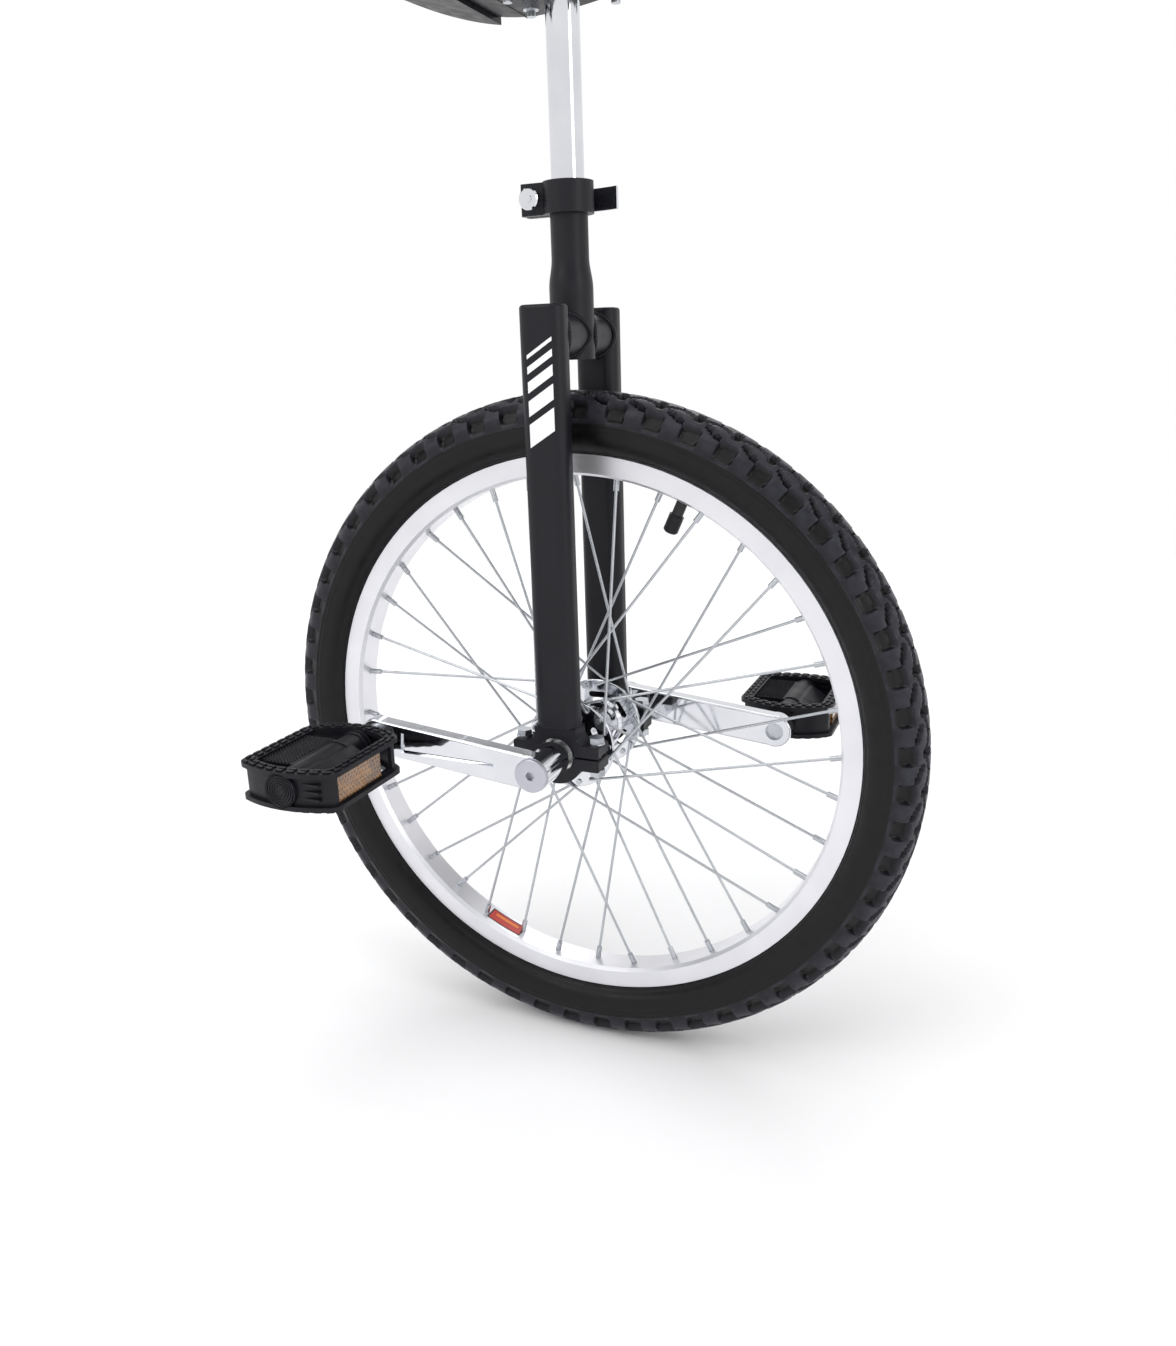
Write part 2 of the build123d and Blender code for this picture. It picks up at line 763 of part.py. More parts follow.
with BuildPart() as pedal_cap:
    add(across_spindle_rod(pedal_outer - cap_thickness, pedal_outer, cap_radius).part)
    fillet(edges().filter_by(GeomType.CIRCLE).sort_by(Axis.Y)[-1], 1.0)
    plug_start = pedal_outer - cap_thickness - cap_plug_length
    add(across_spindle_rod(plug_start, pedal_outer - cap_thickness, nut_bore - 0.05).part)
left_pedal_cap, right_pedal_cap = at_pedals(pedal_cap)

with BuildPart() as pedal_bushes:
    for start, bore in (
        (inner_bush_start, pedal_spindle_inner + running_gap),
        (outer_bush_end - bush_length, pedal_spindle_outer + running_gap),
    ):
        with BuildSketch(across_pedal(start)):
            Circle(pedal_bush_radius)
            Circle(bore, mode=Mode.SUBTRACT)
        extrude(amount=bush_length)
left_pedal_bushes, right_pedal_bushes = at_pedals(pedal_bushes)

spindle_tip = outer_bush_end + 6.0
thread_recess = 3.0         # of the spindle's end below the crank's inner face
with BuildPart() as pedal_spindle:
    add(across_spindle_rod(thread_recess - crank_arm_thickness, 0, pedal_thread_radius).part)
    add(across_spindle_rod(0, 2.0, 9.5).part)
    with BuildSketch(across_pedal(2.0)):
        Circle(9.0)
        Rectangle(15.0, 18.0, mode=Mode.INTERSECT)
    extrude(amount=pedal_gap - 3.0)
    add(across_spindle_rod(pedal_gap - 1.0, spindle_step, pedal_spindle_inner).part)
    add(across_spindle_rod(spindle_step, spindle_tip, pedal_spindle_outer).part)
left_pedal_spindle, right_pedal_spindle = at_pedals(pedal_spindle)

with BuildPart() as locknut:
    with BuildSketch(across_pedal(outer_bush_end + 0.4)):
        RegularPolygon(7.0, 6, major_radius=False)
        Circle(pedal_spindle_outer, mode=Mode.SUBTRACT)
    extrude(amount=4.5)
left_locknut, right_locknut = at_pedals(locknut)
with BuildPart() as pedal_locknuts:
    add(left_locknut.part)
    add(right_locknut.part)

# ---------------------------------------------------------------------------------------------------
# Fork: neck, crown tubes, legs and bearing holders.  Right-hand pieces are built, then mirrored.
# ---------------------------------------------------------------------------------------------------
leg_cap_thickness = 3.0
leg_foot = hub_height + leg_bottom
slot_length = 34.0
slot_width = 2.4


def leg_section(plane, wall):
    """The leg's rounded section; with a wall it is a tube, without one it is solid."""
    with BuildSketch(plane) as section:
        RectangleRounded(leg_depth, leg_width, leg_corner)
        if wall:
            RectangleRounded(leg_depth - 2 * wall, leg_width - 2 * wall, leg_corner - wall,
                             mode=Mode.SUBTRACT)
    return section


def right_leg_plane(height):
    """Level plane across the right leg."""
    return Plane(origin=(0, -bearing_centre, height))


with BuildPart() as right_leg:
    add(leg_section(right_leg_plane(leg_foot), leg_wall).sketch)
    extrude(amount=leg_top - leg_cap_thickness - leg_foot)

with BuildPart() as right_leg_cap:
    add(leg_section(right_leg_plane(leg_top - leg_cap_thickness), 0).sketch)
    extrude(amount=leg_cap_thickness)
    fillet(faces().sort_by(Axis.Z)[-1].edges(), leg_cap_thickness * 0.8)

with BuildPart() as neck_tube:
    swage_start = neck_bottom + neck_straight
    swage_end = swage_start + neck_swage
    with BuildSketch(Plane.XZ):
        with BuildLine():
            Line((post_radius + running_gap, neck_bottom), (neck_radius, neck_bottom))
            Line((neck_radius, neck_bottom), (neck_radius, swage_start))
            Spline((neck_radius, swage_start), (swaged_radius, swage_end), tangents=((0, 1), (0, 1)))
            Line((swaged_radius, swage_end), (swaged_radius, neck_top))
            Line((swaged_radius, neck_top), (post_radius + running_gap, neck_top))
            Line((post_radius + running_gap, neck_top), (post_radius + running_gap, neck_bottom))
        make_face()
    revolve(axis=Axis.Z)
    # The lower part is a plain tube of its own wall.
    with BuildSketch(Plane.XY.offset(neck_bottom)):
        Circle(neck_radius - neck_wall)
    extrude(amount=neck_straight - 4.0, mode=Mode.SUBTRACT)
    # The slot at the back lets the clamp close the tube on the seat post.
    with Locations((-swaged_radius, 0, neck_top - slot_length / 2)):
        Box(swaged_radius, slot_width, slot_length, mode=Mode.SUBTRACT)

with BuildPart() as right_crown_tube:
    with BuildSketch(Plane(origin=(0, 0, crown_height), x_dir=(1, 0, 0), z_dir=(0, -1, 0))):
        Circle(crown_tube_radius)
    extrude(amount=bearing_centre - leg_width / 2)
    with BuildSketch(Plane.XY.offset(crown_height - crown_tube_radius)):
        Circle(neck_radius)
    extrude(amount=2 * crown_tube_radius, mode=Mode.SUBTRACT)
    with BuildSketch(Plane(origin=(0, 0, crown_height), x_dir=(1, 0, 0), z_dir=(0, -1, 0))):
        Circle(crown_tube_radius - leg_wall)
    extrude(amount=bearing_centre, mode=Mode.SUBTRACT)

# Holders: an upper half welded under the leg and a lower cap, bolted together through their ears.
holder_bolt = holder_ear - bolt_radius - 1.9
holder_radius = bearing_outside / 2 + holder_wall
bolt_head_flat = 5.0
washer_radius = bolt_head_flat + 0.9
washer_thickness = 1.2
nut_height = 5.0
bolt_overhang = 1.6
half_leg = leg_depth / 2
holder_shoulder = holder_bolt - washer_radius - half_leg - 0.3     # clear of the washers


with BuildPart() as holder_cuts:
    # The opening beside the bearing, its wider seat, and the two upright bolt holes.
    with BuildSketch(wheel_plane(holder_inner_face)):
        Circle(holder_lip)
    extrude(amount=holder_width)
    with BuildSketch(wheel_plane(bearing_inner_face)):
        Circle(bearing_outside / 2)
    extrude(amount=bearing_width)
    with Locations(*[(side * holder_bolt, -bearing_centre, hub_height) for side in (-1, 1)]):
        Cylinder(bolt_radius + free_gap, 4 * holder_ear_height)

with BuildPart() as right_bearing_holder:
    with BuildSketch(wheel_plane(holder_inner_face)) as holder_face:
        with BuildLine():
            Polyline(
                (-holder_ear, holder_split / 2),
                (-holder_ear, holder_ear_height),
                (-half_leg, holder_ear_height),
                (-half_leg, leg_bottom),
                (half_leg, leg_bottom),
                (half_leg, holder_ear_height),
                (holder_ear, holder_ear_height),
                (holder_ear, holder_split / 2),
                close=True,
            )
        make_face()
        fillet([v for v in holder_face.vertices()
                if abs(abs(v.X) - half_leg) < 0.1 and v.Y < leg_bottom - 1], holder_shoulder)
        fillet([v for v in holder_face.vertices() if abs(v.X) > holder_ear - 0.1], 1.6)
    extrude(amount=holder_width)
    add(holder_cuts.part, mode=Mode.SUBTRACT)

with BuildPart() as right_bearing_cap:
    with BuildSketch(wheel_plane(holder_inner_face)) as cap_face:
        Circle(holder_radius)
        with Locations((0, -holder_ear_height / 2)):
            Rectangle(2 * holder_ear, holder_ear_height)
        with Locations((0, holder_radius - holder_split / 2)):
            Rectangle(4 * holder_radius, 2 * holder_radius, mode=Mode.SUBTRACT)
        fillet([v for v in cap_face.vertices() if abs(v.X) > holder_ear - 0.1], 1.6)
    extrude(amount=holder_width)
    add(holder_cuts.part, mode=Mode.SUBTRACT)

ear_top = hub_height + holder_ear_height
ear_under = hub_height - holder_ear_height
ear_places = [(side * holder_bolt, fore) for side in (-1, 1) for fore in (-bearing_centre, bearing_centre)]


def hexagons(height, across_flats, thickness):
    """Hexagonal prisms on the four bolt places, standing up from a height."""
    with BuildPart() as prisms:
        with BuildSketch(Plane.XY.offset(height)):
            with Locations(*ear_places):
                RegularPolygon(across_flats / 2, 6, major_radius=False)
        extrude(amount=thickness)
    return prisms


def rounds(height, radius, thickness):
    """Round prisms on the four bolt places, standing up from a height."""
    with BuildPart() as prisms:
        with BuildSketch(Plane.XY.offset(height)):
            with Locations(*ear_places):
                Circle(radius)
        extrude(amount=thickness)
    return prisms


nut_bottom = ear_under - nut_height
with BuildPart() as holder_bolts:
    add(hexagons(ear_top + washer_thickness, 2 * bolt_head_flat, bolt_radius * 1.3).part)
    shank_bottom = nut_bottom - bolt_overhang
    add(rounds(shank_bottom, bolt_radius, ear_top + washer_thickness - shank_bottom).part)

with BuildPart() as holder_washers:
    add(rounds(ear_top, washer_radius, washer_thickness).part)
    add(rounds(ear_top, bolt_radius, washer_thickness).part, mode=Mode.SUBTRACT)

with BuildPart() as holder_nuts:
    add(hexagons(nut_bottom, 2 * bolt_head_flat, nut_height).part)
    add(rounds(nut_bottom, bolt_radius, nut_height).part, mode=Mode.SUBTRACT)

# ---------------------------------------------------------------------------------------------------
# Seat clamp: a split collar on the neck, closed by a skewer with a lever
# ---------------------------------------------------------------------------------------------------
collar_radius = swaged_radius + clamp_wall
ear_reach = 15.0
ear_thickness = 6.0
skewer_x = -(collar_radius + ear_reach / 2 - 1.0)
skewer_radius = 2.6
skewer_height = clamp_bottom + clamp_height / 2
ear_outside = clamp_gap / 2 + ear_thickness
with BuildPart() as seat_clamp:
    with BuildSketch(Plane.XY.offset(clamp_bottom)):
        Circle(collar_radius)
        with Locations((-collar_radius - ear_reach / 2 + 2.0, 0)):
            RectangleRounded(ear_reach + 4.0, 2 * ear_outside, 2.0)
        Circle(swaged_radius, mode=Mode.SUBTRACT)
        with Locations((-collar_radius - ear_reach / 2, 0)):
            Rectangle(2 * collar_radius, clamp_gap, mode=Mode.SUBTRACT)
    extrude(amount=clamp_height)
    with Locations((skewer_x, 0, skewer_height)):
        Cylinder(skewer_radius + free_gap, 4 * ear_outside, rotation=(90, 0, 0), mode=Mode.SUBTRACT)

eye_radius = 5.0
eye_y = ear_outside + 3.0 + eye_radius
eye_height = 8.0
cam_pin_radius = 2.5
cheek_radius = eye_radius + 1.0
with BuildPart() as clamp_skewer:
    nut_end = ear_outside + 7.0
    with BuildSketch(Plane(origin=(skewer_x, eye_y, skewer_height), x_dir=(1, 0, 0), z_dir=(0, -1, 0))):
        Circle(skewer_radius)
    extrude(amount=eye_y + nut_end)
    with Locations((skewer_x, eye_y, skewer_height)):
        Cylinder(eye_radius, eye_height)
        Cylinder(cam_pin_radius + running_gap, eye_height, mode=Mode.SUBTRACT)

with BuildPart() as clamp_nut:
    nut_face = Plane(origin=(skewer_x, -ear_outside, skewer_height), x_dir=(1, 0, 0), z_dir=(0, -1, 0))
    with BuildSketch(nut_face):
        Circle(7.0)
        Circle(skewer_radius, mode=Mode.SUBTRACT)
    extrude(amount=6.0)
    chamfer(edges().filter_by(GeomType.CIRCLE).sort_by(Axis.Y)[0], 0.8)

with BuildPart() as clamp_washer:
    washer_length = eye_y - cheek_radius - ear_outside - free_gap
    with BuildSketch(Plane(origin=(skewer_x, ear_outside, skewer_height), x_dir=(1, 0, 0), z_dir=(0, 1, 0))):
        Circle(6.5)
        Circle(skewer_radius, mode=Mode.SUBTRACT)
    extrude(amount=washer_length)

lever_length = 52.0
lever_gap = 0.1
with BuildPart() as clamp_lever:
    # Two cam cheeks above and below the eye, joined by the pin and by the handle.
    cheek = 3.0
    cheek_bottoms = (eye_height / 2 + lever_gap, -eye_height / 2 - lever_gap - cheek)
    for bottom in cheek_bottoms:
        with BuildSketch(Plane.XY.offset(skewer_height + bottom)):
            with Locations((skewer_x, eye_y)):
                Circle(cheek_radius)
            with Locations((skewer_x + 6.0, eye_y + 3.5)):
                Rectangle(12.0, 4.5)
        extrude(amount=cheek)
    with BuildSketch(Plane.XY.offset(skewer_height - eye_height / 2 - lever_gap)):
        with Locations((skewer_x, eye_y)):
            Circle(cam_pin_radius)
    extrude(amount=eye_height + 2 * lever_gap)
    handle_height = eye_height + 2 * lever_gap + 2 * cheek
    with BuildSketch(Plane.XY.offset(skewer_height - handle_height / 2)):
        with BuildLine():
            handle_start = skewer_x + eye_radius + 2.5
            handle_end = skewer_x + lever_length
            inner_y = eye_y + 1.25
            Line((handle_start, inner_y), (handle_start, inner_y + 4.5))
            ThreePointArc(
                (handle_start, inner_y + 4.5),
                ((handle_start + handle_end) / 2, inner_y + 7.0),
                (handle_end, inner_y + 1.5),
            )
            Line((handle_end, inner_y + 1.5), (handle_end, inner_y - 2.0))
            ThreePointArc(
                (handle_end, inner_y - 2.0),
                ((handle_start + handle_end) / 2, inner_y + 3.0),
                (handle_start, inner_y),
            )
        make_face()
    extrude(amount=handle_height)

# ---------------------------------------------------------------------------------------------------
# Seat: post, bracket, saddle shell, foam, cover, bumpers and their fasteners
# ---------------------------------------------------------------------------------------------------
bracket_thickness = 3.0
bracket_length = 92.0
bracket_width = 52.0
saddle_floor = post_top + bracket_thickness + soft_gap
foam_floor = saddle_floor + saddle_base_thickness
saddle_stations = (-0.98, -0.92, -0.8, -0.62, -0.4, -0.18, 0.05, 0.28, 0.5, 0.7, 0.85, 0.94, 0.98)

with BuildPart() as seat_post:
    with BuildSketch(Plane.XY.offset(post_top - post_length)):
        Circle(post_radius)
        Circle(post_radius - post_wall, mode=Mode.SUBTRACT)
    extrude(amount=post_length)

stud_places = [(x, y) for x in (-30.0, 30.0) for y in (-17.0, 17.0)]
stud_radius = 3.0
with BuildPart() as saddle_bracket:
    with BuildSketch(Plane.XY.offset(post_top)):
        RectangleRounded(bracket_length, bracket_width, 12.0)
        with Locations(*stud_places):
            Circle(stud_radius + free_gap, mode=Mode.SUBTRACT)
    extrude(amount=bracket_thickness)


def saddle_half_width(station):
    """Half the saddle's width at a station, from -1 at the back to 1 at the nose."""
    widening = 0.5 - 0.5 * sin(radians(90) * max(-1, min(1, 1.5 * station + 0.25)))
    side_line = saddle_nose + (saddle_rear - saddle_nose) * widening
    return side_line * (1 - abs(station) ** 5) ** 0.5


def saddle_rise(station):
    """How far the saddle curves up from its middle at a station."""
    return (saddle_front_rise if station > 0 else saddle_rear_rise) * station**2


def saddle_layer(grow, low, high, edge_round):
    """A layer of the saddle between two levels, grown sideways, with its top edges rounded."""
    with BuildPart() as layer:
        for station in saddle_stations:
            half_width = saddle_half_width(station) + grow
            middle = (low + high) / 2 + saddle_rise(station)
            with BuildSketch(Plane.YZ.offset(station * (saddle_half_length + grow))) as section:
                with Locations((0, middle)):
                    Rectangle(2 * half_width, high - low)
                fillet(section.vertices().group_by(Axis.Y)[-1], min(edge_round, 0.5 * half_width))
        loft()
    return layer


cover_low = saddle_floor + 1.0
foam_high = foam_floor + saddle_foam_height
cover_inset = saddle_cover_thickness + soft_gap
with BuildPart() as saddle_studs:
    with BuildSketch(Plane.XY.offset(post_top - 9.0)):
        with Locations(*stud_places):
            Circle(stud_radius)
    extrude(amount=9.0 + bracket_thickness + saddle_base_thickness * 0.8)

with BuildPart() as saddle_base:
    add(saddle_layer(-cover_inset, saddle_floor, foam_floor, 1.0).part)
    add(saddle_studs.part, mode=Mode.SUBTRACT)

saddle_foam = saddle_layer(-cover_inset, foam_floor + soft_gap, foam_high, saddle_edge_round - cover_inset)
with BuildPart() as saddle_cover:
    add(saddle_layer(0, cover_low, foam_high + cover_inset, saddle_edge_round).part)
    hollow = saddle_layer(-saddle_cover_thickness, cover_low - 5.0, foam_high + soft_gap,
                          saddle_edge_round - saddle_cover_thickness)
    add(hollow.part, mode=Mode.SUBTRACT)


def bumper(start, end):
    """A guard round one end of the saddle, with a floor under it, between two stations along it."""
    inside = saddle_layer(soft_gap, saddle_floor, saddle_floor + 3 * bumper_height, 1.0)
    with BuildPart() as guard:
        add(saddle_layer(bumper_wall, saddle_floor - 3.0, saddle_floor + bumper_height, 2.0).part)
        add(inside.part, mode=Mode.SUBTRACT)
        with BuildSketch(Plane.XY.offset(saddle_floor - 3 * bumper_height)):
            with Locations(((start + end) / 2, 0)):
                Rectangle(end - start, 6 * saddle_rear)
        extrude(amount=8 * bumper_height, mode=Mode.INTERSECT)
    return guard


front_bumper = bumper(0.6 * saddle_half_length, 2 * saddle_half_length)
rear_bumper = bumper(-2 * saddle_half_length, -0.62 * saddle_half_length)

with BuildPart() as saddle_nuts:
    with BuildSketch(Plane.XY.offset(post_top - nut_height)):
        with Locations(*stud_places):
            RegularPolygon(bolt_head_flat, 6, major_radius=False)
            Circle(stud_radius, mode=Mode.SUBTRACT)
    extrude(amount=nut_height)

# ---------------------------------------------------------------------------------------------------
# Write every piece
# ---------------------------------------------------------------------------------------------------
pieces = {
    "neck_tube": neck_tube,
    "right_crown_tube": right_crown_tube,
    "left_crown_tube": mirrored(right_crown_tube),
    "right_leg": right_leg,
    "left_leg": mirrored(right_leg),
    "right_leg_cap": right_leg_cap,
    "left_leg_cap": mirrored(right_leg_cap),
    "right_bearing_holder": right_bearing_holder,
    "left_bearing_holder": mirrored(right_bearing_holder),
    "right_bearing_cap": right_bearing_cap,
    "left_bearing_cap": mirrored(right_bearing_cap),
    "holder_bolts": holder_bolts,
    "holder_washers": holder_washers,
    "holder_nuts": holder_nuts,
    "bearing_outer_races": bearing_outer_races,
    "bearing_balls": bearing_balls,
    "bearing_shields": bearing_shields,
    "seat_clamp": seat_clamp,
    "clamp_skewer": clamp_skewer,
    "clamp_nut": clamp_nut,
    "clamp_washer": clamp_washer,
    "clamp_lever": clamp_lever,
    "seat_post": seat_post,
    "saddle_bracket": saddle_bracket,
    "saddle_base": saddle_base,
    "saddle_foam": saddle_foam,
    "saddle_cover": saddle_cover,
    "front_bumper": front_bumper,
    "rear_bumper": rear_bumper,
    "saddle_studs": saddle_studs,
    "saddle_nuts": saddle_nuts,
    "tyre": tyre,
    "inner_tube": inner_tube,
    "rim_tape": rim_tape,
    "rim": rim,
    "rim_joint_pins": rim_joint_pins,
    "valve_stem": valve_stem,
    "valve_cap": valve_cap,
    "spokes": spokes,
    "nipples": nipples,
    "hub_shell": hub_shell,
    "hub_spindle": hub_spindle,
    "bearing_inner_races": bearing_inner_races,
    "spindle_spacers": spindle_spacers,
    "right_crank": right_crank,
    "left_crank": left_crank,
    "crank_bolts": crank_bolts,
    "dust_caps": dust_caps,
    "right_pedal_spindle": right_pedal_spindle,
    "left_pedal_spindle": left_pedal_spindle,
    "pedal_locknuts": pedal_locknuts,
    "right_pedal_body": right_pedal_body,
    "right_pedal_reflectors": right_pedal_reflectors,
    "right_pedal_cap": right_pedal_cap,
    "right_pedal_bushes": right_pedal_bushes,
    "left_pedal_body": left_pedal_body,
    "left_pedal_reflectors": left_pedal_reflectors,
    "left_pedal_cap": left_pedal_cap,
    "left_pedal_bushes": left_pedal_bushes,
}
for name, piece in pieces.items():
    write(piece, name)
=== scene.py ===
"""Looks for the unicycle: its finishes, tread, saddle upholstery, pedal grips, welds and marks."""
import json
import math

import bmesh
import bpy
from mathutils import Matrix, Vector


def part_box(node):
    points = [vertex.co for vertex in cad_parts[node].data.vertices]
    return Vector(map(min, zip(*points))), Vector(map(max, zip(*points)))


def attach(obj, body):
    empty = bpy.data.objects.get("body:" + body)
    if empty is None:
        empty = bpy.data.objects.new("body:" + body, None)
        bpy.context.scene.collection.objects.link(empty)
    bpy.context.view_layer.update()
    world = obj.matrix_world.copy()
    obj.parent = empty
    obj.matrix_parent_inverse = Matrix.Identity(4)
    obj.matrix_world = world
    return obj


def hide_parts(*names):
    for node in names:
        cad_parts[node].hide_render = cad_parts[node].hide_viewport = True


MM = 0.001
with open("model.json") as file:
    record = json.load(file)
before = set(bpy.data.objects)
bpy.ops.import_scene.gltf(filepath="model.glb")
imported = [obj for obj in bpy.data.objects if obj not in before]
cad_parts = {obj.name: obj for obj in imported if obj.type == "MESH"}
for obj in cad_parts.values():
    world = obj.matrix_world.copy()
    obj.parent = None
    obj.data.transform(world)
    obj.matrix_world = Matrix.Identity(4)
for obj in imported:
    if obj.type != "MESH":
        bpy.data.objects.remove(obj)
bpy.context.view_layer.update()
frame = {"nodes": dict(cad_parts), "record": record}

# ---------------------------------------------------------------- places on the wheel and fork
tyre_low, tyre_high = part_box("tyre")
HUB = Vector((0, 0, (tyre_high.z + tyre_low.z) / 2))


# ---------------------------------------------------------------- camera, lights and floor
def camera_from_hub(azimuth, elevation, roll, target, distance, lens):
    """A camera that looks at a point given from the hub, from that side and height."""
    back = Vector((math.sin(azimuth) * math.cos(elevation), -math.cos(azimuth) * math.cos(elevation),
                   math.sin(elevation)))
    right = (-back).cross(Vector((0, 0, 1))).normalized()
    up = right.cross(-back)
    tilted_right = math.cos(roll) * right + math.sin(roll) * up
    tilted_up = -math.sin(roll) * right + math.cos(roll) * up
    camera = bpy.data.objects.new("camera", bpy.data.cameras.new("camera"))
    bpy.context.scene.collection.objects.link(camera)
    camera.data.lens = lens
    camera.data.sensor_width = 36.0
    camera.data.clip_start = 0.02
    camera.data.clip_end = 60.0
    turn = Matrix((tilted_right, tilted_up, back)).transposed().to_4x4()
    camera.matrix_world = Matrix.Translation(HUB + target + back * distance) @ turn
    bpy.context.scene.camera = camera


camera_from_hub(azimuth=math.radians(23.53), elevation=math.radians(16.43), roll=math.radians(-1.8),
                target=Vector((3.4, 0, 46.7)) * MM, distance=805.1 * MM, lens=28.77)
LIGHT_AIM = Vector((0, 0, 0.35))        # the middle of the wheel's upper half


def soft_light(name, place, size, power):
    """A large soft panel that faces the wheel."""
    lamp = bpy.data.lights.new(name, "AREA")
    lamp.shape = "RECTANGLE"
    lamp.size, lamp.size_y = size
    lamp.energy = power
    panel = bpy.data.objects.new(name, lamp)
    bpy.context.scene.collection.objects.link(panel)
    panel.location = place
    panel.rotation_euler = (LIGHT_AIM - Vector(place)).to_track_quat("-Z", "Y").to_euler()
    panel.visible_camera = False


soft_light("key_panel", (-1.6, -2.2, 2.3), (1.6, 1.2), 16)
soft_light("side_panel", (2.6, -0.9, 1.4), (0.8, 1.8), 14)
soft_light("back_panel", (-0.6, 2.4, 2.2), (1.8, 0.9), 12)
sky = bpy.data.objects.new("sky_light", bpy.data.lights.new("sky_light", "SUN"))
sky.data.energy = 0.8
sky.data.angle = math.radians(60)
sky.rotation_euler = (math.radians(18), math.radians(-14), 0)
bpy.context.scene.collection.objects.link(sky)


# ---------------------------------------------------------------- node helpers and colours
def hex_colour(text):
    """An sRGB hex colour as linear light."""
    parts = [int(text[i:i + 2], 16) / 255 for i in (1, 3, 5)]
    linear = [c / 12.92 if c <= 0.04045 else ((c + 0.055) / 1.055) ** 2.4 for c in parts]
    return (*linear, 1.0)


def add(tree, kind, settings=None, **inputs):
    """Adds one node. An input is a value or another node's socket; a name's underscores stand for spaces."""
    node = tree.nodes.new(kind)
    for key, value in (settings or {}).items():
        setattr(node, key, value)
    for key, value in inputs.items():
        socket = node.inputs[int(key[2:])] if key.startswith("n_") else node.inputs[key.replace("_", " ")]
        if isinstance(value, bpy.types.NodeSocket):
            tree.links.new(value, socket)
        else:
            socket.default_value = value
    return node


# The backdrop's brightness against the height of the view's direction: the band stays above an ordinary view.
BACKDROP = ((0.40, 1.0), (0.45, 0.12), (0.61, 0.10), (0.70, 1.0))


def world_light():
    """A pale studio: white all round and overhead, with a dark band between for plated parts to mirror."""
    world = bpy.data.worlds.new("studio")
    bpy.context.scene.world = world
    world.use_nodes = True
    tree = world.node_tree
    tree.nodes.clear()
    where = add(tree, "ShaderNodeTexCoord")
    height = add(tree, "ShaderNodeSeparateXYZ", n_0=where.outputs["Generated"])
    tones = add(tree, "ShaderNodeValToRGB", Fac=height.outputs["Z"])
    for spot, tone in BACKDROP:
        mark = tones.color_ramp.elements.new(spot)
        mark.color = (tone, tone, tone, 1)
    tones.color_ramp.elements[0].color = (1, 1, 1, 1)
    tones.color_ramp.elements[-1].color = (1, 1, 1, 1)
    glow = add(tree, "ShaderNodeBackground", Color=tones.outputs["Color"], Strength=1.0)
    add(tree, "ShaderNodeOutputWorld", Surface=glow.outputs[0])


world_light()
bpy.context.scene.view_settings.view_transform = "Standard"


def material(name):
    """A new material with a Principled surface, and the object coordinates that its patterns use."""
    made = bpy.data.materials.new(name)
    made.use_nodes = True
    tree = made.node_tree
    tree.nodes.clear()
    skin = add(tree, "ShaderNodeBsdfPrincipled")
    add(tree, "ShaderNodeOutputMaterial", Surface=skin.outputs[0])
    place = add(tree, "ShaderNodeTexCoord").outputs["Object"]
    return made, tree, skin, place


FLOOR_RADIUS = 2.4          # it ends while its light is still even with the backdrop


def floor():
    """A pale floor under the wheel."""
    paper, tree, skin, place = material("studio_paper")
    grain = add(tree, "ShaderNodeTexNoise", Vector=place, Scale=3.0, Detail=2.0)
    tone = add(tree, "ShaderNodeMix", {"data_type": "RGBA"}, Factor=grain.outputs["Fac"])
    tone.inputs[6].default_value = hex_colour("#F6F6F7")
    tone.inputs[7].default_value = hex_colour("#FAFAFB")
    tree.links.new(tone.outputs[2], skin.inputs["Base Color"])
    skin.inputs["Roughness"].default_value = 0.9
    skin.inputs["Specular IOR Level"].default_value = 0.2
    shape = bmesh.new()
    bmesh.ops.create_circle(shape, cap_ends=True, segments=96, radius=FLOOR_RADIUS)
    sheet = bpy.data.meshes.new("floor")
    shape.to_mesh(sheet)
    sheet.materials.append(paper)
    ground = bpy.data.objects.new("floor", sheet)
    bpy.context.scene.collection.objects.link(ground)


floor()


# ---------------------------------------------------------------- mesh helpers
def mesh_from(verts, faces, name):
    """A mesh from its corners and faces."""
    made = bpy.data.meshes.new(name)
    made.from_pydata([tuple(v) for v in verts], [], faces)
    made.update()
    return made


def soften(mesh, angle=35):
    """Smooth shading, with edges steeper than the angle kept crisp."""
    mesh.shade_smooth()
    mesh.set_sharp_from_angle(angle=math.radians(angle))
    return mesh


def face_outwards(mesh):
    """Closes the seams of a shape and turns its faces outwards."""
    shape = bmesh.new()
    shape.from_mesh(mesh)
    bmesh.ops.remove_doubles(shape, verts=shape.verts, dist=0.00001)
    bmesh.ops.recalc_face_normals(shape, faces=shape.faces)
    shape.to_mesh(mesh)
    shape.free()
    return mesh


def turned_mesh(profile, centre, segments=48, ring=False):
    """Turns a profile of (radius, y) points in millimetres round an axle through the centre."""
    verts, faces, rows = [], [], []
    for radius, along in profile:
        count = segments if radius > 0 else 1
        rows.append((len(verts), count))
        for k in range(count):
            angle = 2 * math.pi * k / segments
            verts.append(centre + Vector((radius * math.cos(angle), along, radius * math.sin(angle))) * MM)
    pairs = list(zip(rows, rows[1:])) + ([(rows[-1], rows[0])] if ring else [])
    for (first, n), (second, m) in pairs:
        for k in range(segments):
            after = (k + 1) % segments
            corners = [first + k % n, first + after % n, second + after % m, second + k % m]
            face = list(dict.fromkeys(corners))
            if len(face) > 2:
                faces.append(face)
    return face_outwards(mesh_from(verts, faces, "turned"))


def show(name, mesh, body, stands_for=()):
    """Puts a finished piece in the scene, on its body, and hides the parts it stands for."""
    mesh.name = name
    piece = bpy.data.objects.new(name, mesh)
    bpy.context.scene.collection.objects.link(piece)
    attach(piece, body)
    if stands_for:
        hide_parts(*stands_for)
    return piece


